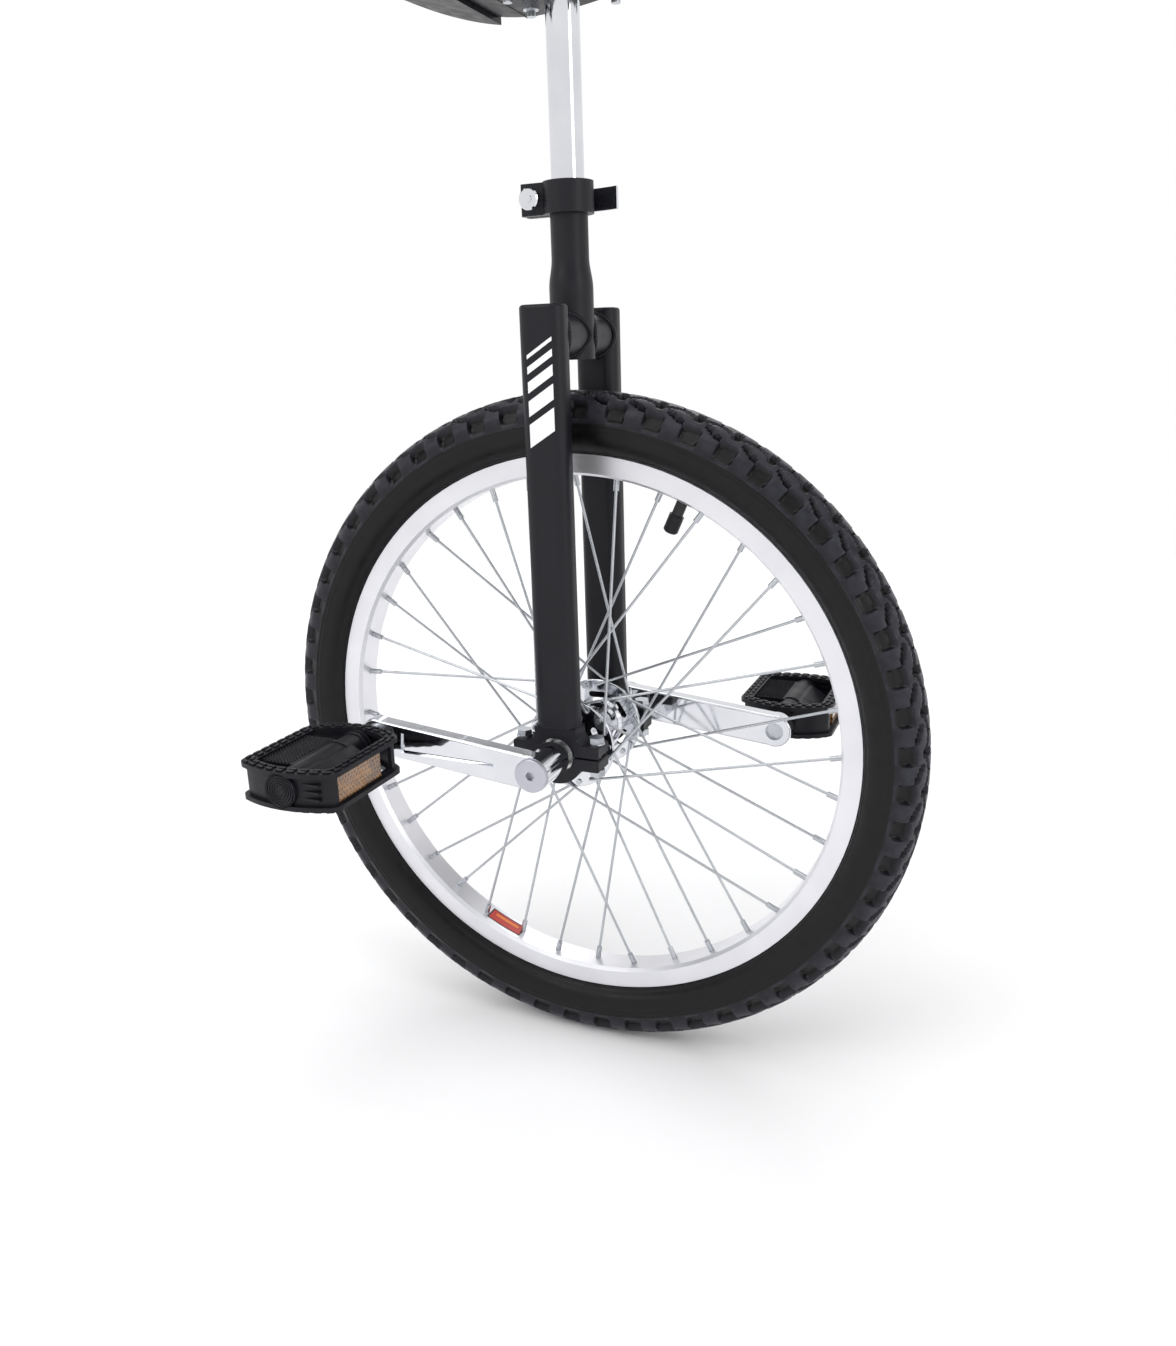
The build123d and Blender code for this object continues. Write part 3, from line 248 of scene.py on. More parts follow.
def template(name, mesh):
    """An object that copies are made from, which isn't shown itself."""
    thing = bpy.data.objects.new(name, mesh)
    bpy.context.scene.collection.objects.link(thing)
    return thing


def block_mesh(size, chamfer, taper):
    """A moulded block in millimetres, narrower towards +Y, with all its edges chamfered."""
    shape = bmesh.new()
    bmesh.ops.create_cube(shape, size=1.0)
    for vert in shape.verts:
        if vert.co.y > 0:
            vert.co.x *= taper
            vert.co.z *= taper + (1 - taper) / 2
        vert.co = Vector((vert.co.x * size[0], vert.co.y * size[1], vert.co.z * size[2])) * MM
    bmesh.ops.bevel(shape, geom=list(shape.edges), offset=chamfer * MM, segments=1, affect="EDGES")
    made = bpy.data.meshes.new("block")
    shape.to_mesh(made)
    shape.free()
    return made


# ---------------------------------------------------------------- geometry trees
def new_tree(name, inputs):
    """An empty geometry tree with those named inputs, its start node and its end node."""
    tree = bpy.data.node_groups.new(name, "GeometryNodeTree")
    tree.interface.new_socket("Geometry", in_out="INPUT", socket_type="NodeSocketGeometry")
    for label, kind in inputs.items():
        tree.interface.new_socket(label, in_out="INPUT", socket_type="NodeSocket" + kind)
    tree.interface.new_socket("Geometry", in_out="OUTPUT", socket_type="NodeSocketGeometry")
    return tree, tree.nodes.new("NodeGroupInput").outputs, tree.nodes.new("NodeGroupOutput")


def finished(tree, copies, given, end):
    """Ends a tree: the copies become real and take their finish."""
    real = add(tree, "GeometryNodeRealizeInstances", Geometry=copies)
    painted = add(tree, "GeometryNodeSetMaterial", Geometry=real.outputs[0], Material=given["Finish"])
    tree.links.new(painted.outputs[0], end.inputs[0])
    return tree


def ring_tree():
    """Copies the object's own mesh round the axle at an even step."""
    tree, given, end = new_tree("copies_round_axle",
                                {"Copies": "Int", "Step": "Float", "Start": "Float", "Finish": "Material"})
    line = add(tree, "GeometryNodeMeshLine", Count=given["Copies"], Offset=(0, 0, 0))
    order = add(tree, "GeometryNodeInputIndex")
    angle = add(tree, "ShaderNodeMath", {"operation": "MULTIPLY_ADD"}, n_0=order.outputs[0], n_1=given["Step"],
                n_2=given["Start"])
    turn = add(tree, "ShaderNodeCombineXYZ", Y=angle.outputs[0])
    copies = add(tree, "GeometryNodeInstanceOnPoints", Points=line.outputs[0], Instance=given["Geometry"],
                 Rotation=turn.outputs[0])
    return finished(tree, copies.outputs[0], given, end)


def path_tree():
    """Copies a template along the object's own curve, on every nth place so that two rows can alternate."""
    tree, given, end = new_tree("copies_on_path", {"Template": "Object", "Places": "Int", "Every": "Int",
                                                   "Phase": "Int", "Finish": "Material"})
    upright = add(tree, "GeometryNodeSetCurveNormal", {"mode": "Z_UP"}, Curve=given["Geometry"])
    spots = add(tree, "GeometryNodeCurveToPoints", {"mode": "COUNT"}, Curve=upright.outputs[0],
                Count=given["Places"])
    order = add(tree, "GeometryNodeInputIndex")
    turn = add(tree, "ShaderNodeMath", {"operation": "MODULO"}, n_0=order.outputs[0], n_1=given["Every"])
    chosen = add(tree, "FunctionNodeCompare", {"operation": "EQUAL", "data_type": "INT"})
    for socket in chosen.inputs:
        if socket.type == "INT" and socket.name == "A":
            tree.links.new(turn.outputs[0], socket)
        if socket.type == "INT" and socket.name == "B":
            tree.links.new(given["Phase"], socket)
    shape = add(tree, "GeometryNodeObjectInfo", Object=given["Template"])
    copies = add(tree, "GeometryNodeInstanceOnPoints", Points=spots.outputs["Points"],
                 Selection=chosen.outputs[0], Instance=shape.outputs["Geometry"],
                 Rotation=spots.outputs["Rotation"])
    return finished(tree, copies.outputs[0], given, end)


def panel_tree():
    """Copies a template over a flat panel in even columns and rows."""
    tree, given, end = new_tree("copies_on_panel", {"Template": "Object", "Width": "Float", "Depth": "Float",
                                                    "Columns": "Int", "Rows": "Int", "Finish": "Material"})
    panel = add(tree, "GeometryNodeMeshGrid", Size_X=given["Width"], Size_Y=given["Depth"],
                Vertices_X=given["Columns"], Vertices_Y=given["Rows"])
    shape = add(tree, "GeometryNodeObjectInfo", Object=given["Template"])
    copies = add(tree, "GeometryNodeInstanceOnPoints", Points=panel.outputs["Mesh"],
                 Instance=shape.outputs["Geometry"])
    return finished(tree, copies.outputs[0], given, end)


RING, PATH, PANEL = ring_tree(), path_tree(), panel_tree()


def grown(data, tree, **inputs):
    """Runs a geometry tree on a mesh or curve and gives the result as a plain mesh."""
    seed = bpy.data.objects.new("seed", data)
    bpy.context.scene.collection.objects.link(seed)
    step = seed.modifiers.new("copies", "NODES")
    step.node_group = tree
    for item in tree.interface.items_tree:
        if item.in_out == "INPUT" and item.name in inputs:
            step[item.identifier] = inputs[item.name]
    bpy.context.view_layer.update()
    graph = bpy.context.evaluated_depsgraph_get()
    made = bpy.data.meshes.new_from_object(seed.evaluated_get(graph))
    bpy.data.objects.remove(seed)
    return joined([made], "grown")


def moved(mesh, place=Vector((0, 0, 0)), turn=None):
    """The mesh turned, then put in place."""
    if turn is not None:
        mesh.transform(turn.to_4x4())
    mesh.transform(Matrix.Translation(place))
    return mesh


def joined(meshes, name):
    """Several meshes as one, each keeping its own finishes."""
    shape = bmesh.new()
    finishes = []
    for mesh in meshes:
        start = len(shape.faces)
        shape.from_mesh(mesh)
        shape.faces.ensure_lookup_table()
        for face in shape.faces[start:]:
            paint = mesh.materials[face.material_index]
            if paint not in finishes:
                finishes.append(paint)
            face.material_index = finishes.index(paint)
    made = bpy.data.meshes.new(name)
    shape.to_mesh(made)
    shape.free()
    for paint in finishes:
        made.materials.append(paint)
    return made


def path_curve(points, closed=True):
    """A curve of straight runs through the points, in metres."""
    data = bpy.data.curves.new("path", "CURVE")
    data.dimensions = "3D"
    line = data.splines.new("POLY")
    line.points.add(len(points) - 1)
    for spot, place in zip(line.points, points):
        spot.co = (*place, 1)
    line.use_cyclic_u = closed
    return data


def rounded(points):
    """A closed run of points with its corners cut twice."""
    for _ in range(2):
        cut = []
        for here, there in zip(points, points[1:] + points[:1]):
            cut += [here.lerp(there, 0.25), here.lerp(there, 0.75)]
        points = cut
    return points


def run_length(points, closed=True):
    """How long a run of points is."""
    ends = points[1:] + points[:1] if closed else points[1:]
    return sum((b - a).length for a, b in zip(points, ends))


def smooth_line(points, share):
    """A point on the smooth line through the points, at a share of its way from 0 to 1."""
    spot = min(share, 0.999999) * (len(points) - 1)
    k = int(spot)
    t = spot - k
    before, here, there = points[max(k - 1, 0)], points[k], points[k + 1]
    after = points[min(k + 2, len(points) - 1)]
    if k == 0:
        before = (-there[0], there[1])
    return tuple(0.5 * (2 * b + (c - a) * t + (2 * a - 5 * b + 4 * c - d) * t * t + (3 * b - a - 3 * c + d) * t ** 3)
                 for a, b, c, d in zip(before, here, there, after))


def ease(value, low, high):
    """0 below low, 1 above high, and smooth between."""
    t = min(max((value - low) / (high - low), 0.0), 1.0)
    return t * t * (3 - 2 * t)


# ---------------------------------------------------------------- finishes
def two_tones(tree, skin, place, size_mm, dark, light):
    """Mottles the colour between two shades, in patches of that size."""
    patches = add(tree, "ShaderNodeTexNoise", Vector=place, Scale=1 / (size_mm * MM), Detail=3.0)
    mix = add(tree, "ShaderNodeMix", {"data_type": "RGBA"}, Factor=patches.outputs["Fac"])
    mix.inputs[6].default_value = hex_colour(dark)
    mix.inputs[7].default_value = hex_colour(light)
    tree.links.new(mix.outputs[2], skin.inputs["Base Color"])


def uneven_gloss(tree, skin, place, size_mm, low, high):
    """Varies the roughness between two values."""
    smears = add(tree, "ShaderNodeTexNoise", Vector=place, Scale=1 / (size_mm * MM), Detail=4.0)
    span = add(tree, "ShaderNodeMapRange", Value=smears.outputs["Fac"], From_Min=0.3, From_Max=0.7, To_Min=low,
               To_Max=high)
    tree.links.new(span.outputs[0], skin.inputs["Roughness"])


def fine_relief(tree, skin, height, height_mm):
    """Raises the surface by a pattern, up to that height."""
    relief = add(tree, "ShaderNodeBump", Distance=height_mm * MM, Strength=1.0, Height=height)
    tree.links.new(relief.outputs[0], skin.inputs["Normal"])


def powder_coat():
    """Satin black powder coat on steel tube: even black, with the slight ripple of baked powder."""
    # A coat's IOR is about 1.5. It is lower here, because an all-white studio would turn the black grey.
    made, tree, skin, place = material("satin_powder_coat")
    two_tones(tree, skin, place, 18, "#101016", "#17171E")
    uneven_gloss(tree, skin, place, 30, 0.38, 0.48)
    ripple = add(tree, "ShaderNodeTexNoise", Vector=place, Scale=1 / (1.6 * MM), Detail=2.0)
    fine_relief(tree, skin, ripple.outputs["Fac"], 0.03)
    skin.inputs["IOR"].default_value = 1.35
    return made


def plated(name, dark, light, low, high, ripple_mm, depth_mm):
    """A plated metal: mirror-like or milky, with faint smears."""
    made, tree, skin, place = material(name)
    two_tones(tree, skin, place, 25, dark, light)
    uneven_gloss(tree, skin, place, 12, low, high)
    skin.inputs["Metallic"].default_value = 1.0
    waves = add(tree, "ShaderNodeTexNoise", Vector=place, Scale=1 / (ripple_mm * MM), Detail=2.0)
    fine_relief(tree, skin, waves.outputs["Fac"], depth_mm)
    return made


def brushed_alloy():
    """Rim aluminium: satin silver, with the fine lines that turning leaves along the hoop."""
    made, tree, skin, place = material("satin_rim_aluminium")
    two_tones(tree, skin, place, 40, "#D9D9DE", "#EDEDF1")
    skin.inputs["Metallic"].default_value = 0.85
    parts = add(tree, "ShaderNodeSeparateXYZ", Vector=place)
    rise = add(tree, "ShaderNodeMath", {"operation": "SUBTRACT"}, n_0=parts.outputs["Z"], n_1=HUB.z)
    flat = add(tree, "ShaderNodeCombineXYZ", X=parts.outputs["X"], Y=rise.outputs[0])
    radius = add(tree, "ShaderNodeVectorMath", {"operation": "LENGTH"}, n_0=flat.outputs[0])
    across = add(tree, "ShaderNodeCombineXYZ", X=radius.outputs["Value"], Y=parts.outputs["Y"])
    # Turning lines are about 0.1 mm apart, drawn at 0.8 mm so that they show.
    lines = add(tree, "ShaderNodeTexNoise", Vector=across.outputs[0], Scale=1 / (0.8 * MM), Detail=3.0)
    gloss = add(tree, "ShaderNodeMapRange", Value=lines.outputs["Fac"], From_Min=0.3, From_Max=0.7, To_Min=0.28,
                To_Max=0.42)
    tree.links.new(gloss.outputs[0], skin.inputs["Roughness"])
    fine_relief(tree, skin, lines.outputs["Fac"], 0.02)
    return made


def moulded(name, dark, light, low, high, grain_mm, depth_mm, specular=0.5):
    """A moulded rubber, foam or plastic: evenly coloured, with the mould's fine grain."""
    made, tree, skin, place = material(name)
    two_tones(tree, skin, place, 14, dark, light)
    uneven_gloss(tree, skin, place, 9, low, high)
    grain = add(tree, "ShaderNodeTexNoise", Vector=place, Scale=1 / (grain_mm * MM), Detail=3.0)
    fine_relief(tree, skin, grain.outputs["Fac"], depth_mm)
    skin.inputs["Specular IOR Level"].default_value = specular
    return made


def tread_rubber():
    """Tyre rubber: black and slightly waxy, mottled by scuffs, with painted shade darkest in the grooves and a
    painted highlight paler on the blocks' faces.
    """
    # Rubber's own gloss is stronger. It is held down here, because an all-white studio would turn it grey.
    made, tree, skin, place = material("tread_rubber")
    scuffs_and_groove_shade = add(tree, "ShaderNodeTexNoise", Vector=place, Scale=1 / (7 * MM), Detail=5.0)
    groove_shade_mask = add(tree, "ShaderNodeAttribute", {"attribute_name": "painted_groove_shade"})
    share = add(tree, "ShaderNodeMath", {"operation": "MULTIPLY"}, n_0=scuffs_and_groove_shade.outputs["Fac"],
                n_1=groove_shade_mask.outputs["Fac"])
    # Painted shade and highlight: the colour runs from near-black where the tread is cut deepest to paler grey on the
    # block tops, mottled by scuffs.
    tone = add(tree, "ShaderNodeValToRGB", Fac=share.outputs[0])
    tone.color_ramp.elements[0].color = hex_colour("#070709")
    tone.color_ramp.elements[1].color = hex_colour("#2E2E37")
    tone.color_ramp.elements[1].position = 0.7
    tree.links.new(tone.outputs[0], skin.inputs["Base Color"])
    skin.inputs["Specular IOR Level"].default_value = 0.26
    uneven_gloss(tree, skin, place, 9, 0.28, 0.5)
    grain = add(tree, "ShaderNodeTexNoise", Vector=place, Scale=1 / (0.9 * MM), Detail=3.0)
    fine_relief(tree, skin, grain.outputs["Fac"], 0.05)
    return made


def amber_prisms():
    """Reflector acrylic: clear amber over rows of small prisms, with painted glints on their facets and painted
    reflections over whole patches.
    """
    made, tree, skin, place = material("amber_reflector_acrylic")
    # Corner prisms of about 2.4 mm, turned so that their facets run slantwise.
    turned = add(tree, "ShaderNodeMapping", Vector=place, Rotation=(0, math.radians(45), math.radians(45)))
    prisms = add(tree, "ShaderNodeTexVoronoi", {"feature": "F1", "distance": "CHEBYCHEV"}, Vector=turned.outputs[0],
                 Scale=1 / (2.4 * MM), Randomness=0.0)
    # Painted highlight: each prism is coloured from dark brown at its middle to bright amber towards its edges, for
    # the light its facets catch.
    painted_glint = add(tree, "ShaderNodeValToRGB", Fac=prisms.outputs["Distance"])
    painted_glint.color_ramp.elements[0].color = hex_colour("#3C1D08")
    painted_glint.color_ramp.elements[1].color = hex_colour("#C98A3E")
    painted_glint.color_ramp.elements[0].position = 0.1
    painted_glint.color_ramp.elements[1].position = 0.55
    # Painted reflections: whole patches of prisms are painted darker or brighter together, for the changing light
    # that their facets mirror.
    patches = add(tree, "ShaderNodeTexVoronoi", {"feature": "F1"}, Vector=turned.outputs[0], Scale=1 / (8 * MM))
    depth = add(tree, "ShaderNodeMapRange", Value=patches.outputs["Color"], To_Min=0.22, To_Max=1.0)
    amber = add(tree, "ShaderNodeVectorMath", {"operation": "SCALE"}, n_0=painted_glint.outputs[0], Scale=depth.outputs[0])
    tree.links.new(amber.outputs[0], skin.inputs["Base Color"])
    fine_relief(tree, skin, prisms.outputs["Distance"], 0.6)
    skin.inputs["Roughness"].default_value = 0.12
    skin.inputs["Coat Weight"].default_value = 1.0
    skin.inputs["Coat Roughness"].default_value = 0.04
    skin.inputs["IOR"].default_value = 1.49
    return made


def grained_vinyl():
    """Saddle vinyl: black and softly glossy, with a pebbled leather grain of about 1.3 mm."""
    made, tree, skin, place = material("grained_vinyl")
    two_tones(tree, skin, place, 30, "#0D0D0E", "#151517")
    pebbles = add(tree, "ShaderNodeTexVoronoi", {"feature": "DISTANCE_TO_EDGE"}, Vector=place,
                  Scale=1 / (1.3 * MM))
    creases = add(tree, "ShaderNodeMapRange", Value=pebbles.outputs["Distance"], From_Min=0.0, From_Max=0.12)
    fine_relief(tree, skin, creases.outputs[0], 0.12)
    uneven_gloss(tree, skin, place, 22, 0.38, 0.55)
    skin.inputs["Specular IOR Level"].default_value = 0.3
    return made


def woven(name, dark, light, thread_mm):
    """A plain weave with threads of that spacing."""
    made, tree, skin, place = material(name)
    warp = add(tree, "ShaderNodeTexWave", {"bands_direction": "X"}, Vector=place, Scale=0.314 / (thread_mm * MM))
    weft = add(tree, "ShaderNodeTexWave", {"bands_direction": "Y"}, Vector=place, Scale=0.314 / (thread_mm * MM))
    cloth = add(tree, "ShaderNodeMath", {"operation": "MULTIPLY"}, n_0=warp.outputs["Fac"], n_1=weft.outputs["Fac"])
    two_tones(tree, skin, place, 8, dark, light)
    fine_relief(tree, skin, cloth.outputs[0], 0.2)
    skin.inputs["Roughness"].default_value = 0.85
    return made


def printed(name, dark, light):
    """Screen ink or label film: even, slightly glossy, with a little wear."""
    made, tree, skin, place = material(name)
    two_tones(tree, skin, place, 2, dark, light)
    skin.inputs["Roughness"].default_value = 0.35
    grain = add(tree, "ShaderNodeTexNoise", Vector=place, Scale=1 / (0.8 * MM), Detail=2.0)
    fine_relief(tree, skin, grain.outputs["Fac"], 0.01)
    return made


FINISHES = {
    "black_paint": powder_coat(),
    "chrome": plated("chrome_plate", "#CDCFD4", "#E2E3E7", 0.04, 0.11, 9, 0.01),
    "zinc_steel": plated("bright_zinc_plate", "#AEB1B6", "#C6C9CD", 0.22, 0.36, 2, 0.01),
    "bearing_steel": plated("ground_bearing_steel", "#A9A8A6", "#C9C8C4", 0.16, 0.28, 1, 0.005),
    "rim_alloy": brushed_alloy(),
    "dust_cap_grey": plated("matt_silver_lacquer", "#B4B4BE", "#C6C6CE", 0.34, 0.48, 1, 0.01),
    "tyre_rubber": tread_rubber(),
    "tube_rubber": moulded("butyl_rubber", "#121214", "#1C1C1E", 0.5, 0.65, 1.2, 0.03),
    "tape_cloth": woven("rim_tape_cotton", "#B9B096", "#CFC8B0", 0.6),
    "black_plastic": moulded("black_polypropylene", "#101014", "#191920", 0.34, 0.5, 0.7, 0.04, 0.24),
    "bush_plastic": moulded("natural_nylon", "#D6D3C8", "#E2DFD6", 0.35, 0.45, 1.0, 0.02),
    "amber_reflector": amber_prisms(),
    "saddle_vinyl": grained_vinyl(),
    "thread": woven("polyester_thread", "#3A3A3E", "#4C4C52", 0.5),
    "saddle_foam": moulded("open_foam", "#2B2B2D", "#39393C", 0.85, 0.95, 0.8, 0.3),
}
WHITE_INK = printed("white_ink", "#E9E9EB", "#F6F6F7")
RED_FILM = printed("red_label_film", "#A8231D", "#C9352A")
BLACK_FILM = printed("black_label_film", "#161616", "#222224")
ORANGE_FILM = printed("orange_label_film", "#D9701C", "#EC8A2E")
for part in frame["record"]["subparts"]:
    slots = frame["nodes"][part["node"]].data.materials
    for k in range(len(slots)):
        slots[k] = FINISHES[part["material_slot"]]

# ---------------------------------------------------------------- tyre
TREAD_COPIES = 56
TREAD_PITCH = 27.5              # along the tread, in millimetres
TREAD_HALF = 33.0               # from the crown to the foot of the shoulder blocks, along the surface
TREAD_START = math.radians(90 - 29.4)       # where the first pitch sits on the wheel
TREAD_TOP = [(0, 252.0), (6.5, 251.3), (12.8, 249.1), (18.4, 245.0), (22.2, 238.6), (22.6, 231.0)]
TREAD_FLOOR = [(0, 248.4), (6.2, 247.6), (11.6, 245.2), (15.9, 240.8), (19.0, 236.3), (22.2, 230.4)]
# Half profiles of the tyre as (distance from the middle, radius), in millimetres.
CASING_OUTSIDE = [(0, 247.4), (6, 246.6), (11.0, 244.2), (15.1, 239.8), (18.4, 235.4), (21.5, 232.2), (22.9, 231.2),
                  (23.25, 230.6), (23.25, 230.0), (22.9, 229.4), (22.95, 228.4), (23.2, 227.8), (23.2, 227.3),
                  (22.9, 226.6), (22.8, 224.0), (22.2, 221.0), (21.2, 218.2), (19.6, 215.4), (17.5, 213.1),
                  (15.1, 211.5), (14.9, 211.0), (13.2, 210.1), (10.7, 209.7), (10.7, 203.2)]
CASING_INSIDE = [(8.1, 203.2), (8.1, 209.8), (14.0, 212.9), (18.2, 217.0), (20.1, 222.0), (20.3, 228.0),
                 (18.6, 233.0), (14.4, 238.6), (8.0, 242.0), (0, 243.3)]


def groove(distance, width):
    """1 inside a groove, 0 outside, with walls about a millimetre wide."""
    return 1 - ease(abs(distance), width / 2 - 0.45, width / 2 + 0.55)


def to_segment(x, y, ax, ay, bx, by):
    """Distance from a point to a short straight line."""
    t = min(max(((x - ax) * (bx - ax) + (y - ay) * (by - ay)) / ((bx - ax) ** 2 + (by - ay) ** 2), 0), 1)
    return math.hypot(x - ax - t * (bx - ax), y - ay - t * (by - ay))


def tread_cut(along, out):
    """How deep the tread is cut at a place in one pitch: arched grooves, slits, and pockets in the shoulder."""
    edge = TREAD_PITCH / 2 - abs(along)             # distance from the joint between two arches
    arch = 11.5 - 5.2 * math.cos(math.pi * along / TREAD_PITCH)
    cut = groove(out - arch, 2.6)
    cut = max(cut, groove(edge, 4.4) * ease(out, 1.2, 2.4) * (1 - ease(out, 13.0, 14.0)))
    cut = max(cut, groove(to_segment(along, out, -5.5, 14.0, 4.0, 18.6), 3.2))
    cut = max(cut, 0.55 * groove(along, 1.4) * (1 - ease(out, 4.0, 5.5)))
    half_pocket = 7.4 - 0.07 * max(out - 19.0, 0)
    lip = 18.2 + 1.6 * (edge / half_pocket) ** 2
    pocket = (1 - ease(edge, half_pocket - 0.9, half_pocket + 0.4)) * ease(out, lip - 0.6, lip + 0.8)
    cut = max(cut, pocket * (1 - ease(out, 27.5, 32.0)))
    flare = 0.35 * ease(out, 24.0, 31.0)
    return max(cut, flare * (1 - pocket))


def tread_cell():
    """One pitch of tread, both shoulders, with the left one half a pitch behind."""
    columns, rows = 26, 24
    verts, faces, scuffs_and_groove_shade = [], [], []
    for i in range(columns + 1):
        along = (i / columns - 0.5) * TREAD_PITCH
        turn = along / TREAD_PITCH * 2 * math.pi / TREAD_COPIES
        for j in range(-rows, rows + 1):
            share = abs(j) / rows
            here = along if j < 0 else (along + TREAD_PITCH) % TREAD_PITCH - TREAD_PITCH / 2
            cut = tread_cut(here, share * TREAD_HALF)
            top, low = smooth_line(TREAD_TOP, share), smooth_line(TREAD_FLOOR, share)
            y, radius = (a + (b - a) * cut for a, b in zip(top, low))
            verts.append(Vector((radius * math.sin(turn), math.copysign(y, j), radius * math.cos(turn))) * MM)
            # Painted shade: 1 on the block tops and 0 deep in the grooves, by how deep the tread is cut, so that the
            # rubber paints the grooves darker and the tops paler.
            scuffs_and_groove_shade.append(1 - min(cut * 1.3, 1))
    tall = 2 * rows + 1
    for i in range(columns):
        for j in range(2 * rows):
            k = i * tall + j
            faces.append((k, k + tall, k + tall + 1, k + 1))
    cell = mesh_from(verts, faces, "tread_cell")
    cell.attributes.new("painted_groove_shade", "FLOAT", "POINT").data.foreach_set("value", scuffs_and_groove_shade)
    return cell


def build_tyre():
    """The tyre: a hollow casing with its beads and sidewall ribs, and the tread laid over it."""
    tread = grown(tread_cell(), RING, Copies=TREAD_COPIES, Step=2 * math.pi / TREAD_COPIES,
                  Start=TREAD_START + math.pi / TREAD_COPIES, Finish=FINISHES["tyre_rubber"])
    shape = bmesh.new()
    shape.from_mesh(tread)
    bmesh.ops.remove_doubles(shape, verts=shape.verts, dist=0.00002)
    shape.to_mesh(tread)
    shape.free()
    half = CASING_OUTSIDE + CASING_INSIDE
    loop = [(radius, -y) for y, radius in half] + [(radius, y) for y, radius in half[::-1] if y > 0]
    loop = [p for k, p in enumerate(loop) if p != loop[k - 1]]
    casing = turned_mesh(loop, Vector((0, 0, 0)), segments=192, ring=True)
    casing.materials.append(FINISHES["tyre_rubber"])
    cover = moved(joined([tread, casing], "tyre_cover"), HUB)
    show("tyre_cover", soften(cover, 38), "wheel", ["tyre"])


build_tyre()

# ---------------------------------------------------------------- welds
LEG_FLAT, LEG_CORNER = 7.25, 8.5        # half the flat of a leg's face, and its corner radius
leg_low, leg_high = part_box("right_leg")
LEG_IN, LEG_OUT = -leg_high.y / MM, -leg_low.y / MM
crown_low, crown_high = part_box("right_crown_tube")
CROWN_Z = (crown_low.z + crown_high.z) / 2 / MM
CROWN_R = (crown_high.z - crown_low.z) / 2 / MM
NECK_R = 15.0
BEAD_STEPS = 40                 # points on the path of a weld
FOOT_X, FOOT_Y = 15.2, 9.6      # half the size of the bead round a leg's foot


def corner_drop(x):
    """How far a leg's rounded corner has turned away from its flat face."""
    over = min(max(abs(x) - LEG_FLAT, 0), LEG_CORNER)
    return LEG_CORNER - math.sqrt(LEG_CORNER ** 2 - over ** 2)


def weld(points, bead, closed=True):
    """A weld bead: overlapping ripples along a path."""
    shape = bmesh.new()
    bmesh.ops.create_icosphere(shape, subdivisions=2, radius=bead * MM)
    bmesh.ops.scale(shape, vec=Vector((1, 1, 0.75)), verts=shape.verts)
    ripple = bpy.data.meshes.new("ripple")
    shape.to_mesh(ripple)
    shape.free()
    drop = template("weld_ripple", ripple)
    made = grown(path_curve([p * MM for p in points], closed), PATH, Template=drop, Every=1, Phase=0,
                 Places=round(run_length(points, closed) / (bead * 0.85)), Finish=FINISHES["black_paint"])
    bpy.data.objects.remove(drop)
    return made


def squared(wave):
    """Turns a circle's sine or cosine into that of a rounded rectangle."""
    return wave * abs(wave) ** -0.35 if abs(wave) > 0.01 else 0


def build_welds():
    """Beads where the crown tubes meet the neck and the legs, and where the legs meet the bearing holders."""
    beads = []
    turns = [2 * math.pi * k / BEAD_STEPS for k in range(BEAD_STEPS)]
    for side in (-1, 1):
        neck, leg, foot = [], [], []
        for t in turns:
            x, z = CROWN_R * math.cos(t), CROWN_Z + CROWN_R * math.sin(t)
            neck.append(Vector((1.02 * x, side * math.sqrt(max(NECK_R ** 2 + 2 - x * x, 1)), z)))
            leg.append(Vector((1.02 * x, side * (LEG_IN + corner_drop(x) - 0.3), z + 0.3 * math.sin(t))))
            foot.append(Vector((FOOT_X * squared(math.cos(t)),
                                side * (LEG_IN + LEG_OUT) / 2 + FOOT_Y * squared(math.sin(t)), leg_low.z / MM + 0.2)))
        beads += [weld(neck, 2.0), weld(leg, 2.1), weld(foot, 0.9)]
    show("fork_welds", soften(joined(beads, "fork_welds"), 80), "frame")


build_welds()

# ---------------------------------------------------------------- marks
def on_leg_face(u, z, lift):
    """A point on the right leg's outer face: u across it, round its corners, at height z."""
    if abs(u) <= LEG_FLAT:
        return Vector((u, -LEG_OUT - lift, z)) * MM
    turn = (abs(u) - LEG_FLAT) / LEG_CORNER
    x = LEG_FLAT + (LEG_CORNER + lift) * math.sin(turn)
    return Vector((math.copysign(x, u), -LEG_OUT + LEG_CORNER - (LEG_CORNER + lift) * math.cos(turn), z)) * MM


def wrapped_patch(spot, outline_low, outline_high, left, right, thickness):
    """A thin printed patch between two slanted edges, wrapped on a surface that spot() describes."""
    verts, faces = [], []
    steps = 16
    for k in range(steps + 1):
        u = left + (right - left) * k / steps
        low, high = outline_low(u), outline_high(u)
        for z in (low, high):
            for lift in (-0.1, thickness):
                verts.append(spot(u, z, lift))
    for k in range(steps):
        a, b = 4 * k, 4 * k + 4
        faces += [(a + 1, b + 1, b + 3, a + 3), (a, a + 2, b + 2, b),
                  (a, b, b + 1, a + 1), (a + 2, a + 3, b + 3, b + 2)]
    faces += [(0, 1, 3, 2), (4 * steps, 4 * steps + 2, 4 * steps + 3, 4 * steps + 1)]
    return face_outwards(mesh_from(verts, faces, "patch"))


BARS = ((474, 15), (494, 10), (509, 7), (521, 4.5), (530.5, 2.5))       # height of the foot, and depth
BAR_LEFT, BAR_RIGHT, BAR_SLANT = -8.5, 9.5, 0.62
INK_THICKNESS = 0.12
LABEL_RADIUS, LABEL_ANGLE = 194.5, math.radians(246.3)


def build_leg_mark():
    """A plain mark of slanted white bars, high on the right leg's outer face."""
    bars = []
    for base, depth in BARS:
        bar = wrapped_patch(on_leg_face, lambda u: base + BAR_SLANT * u, lambda u: base + depth + BAR_SLANT * u,
                            BAR_LEFT, BAR_RIGHT, INK_THICKNESS)
        bar.materials.append(WHITE_INK)
        bars.append(bar)
    show("leg_mark", joined(bars, "leg_mark"), "frame")


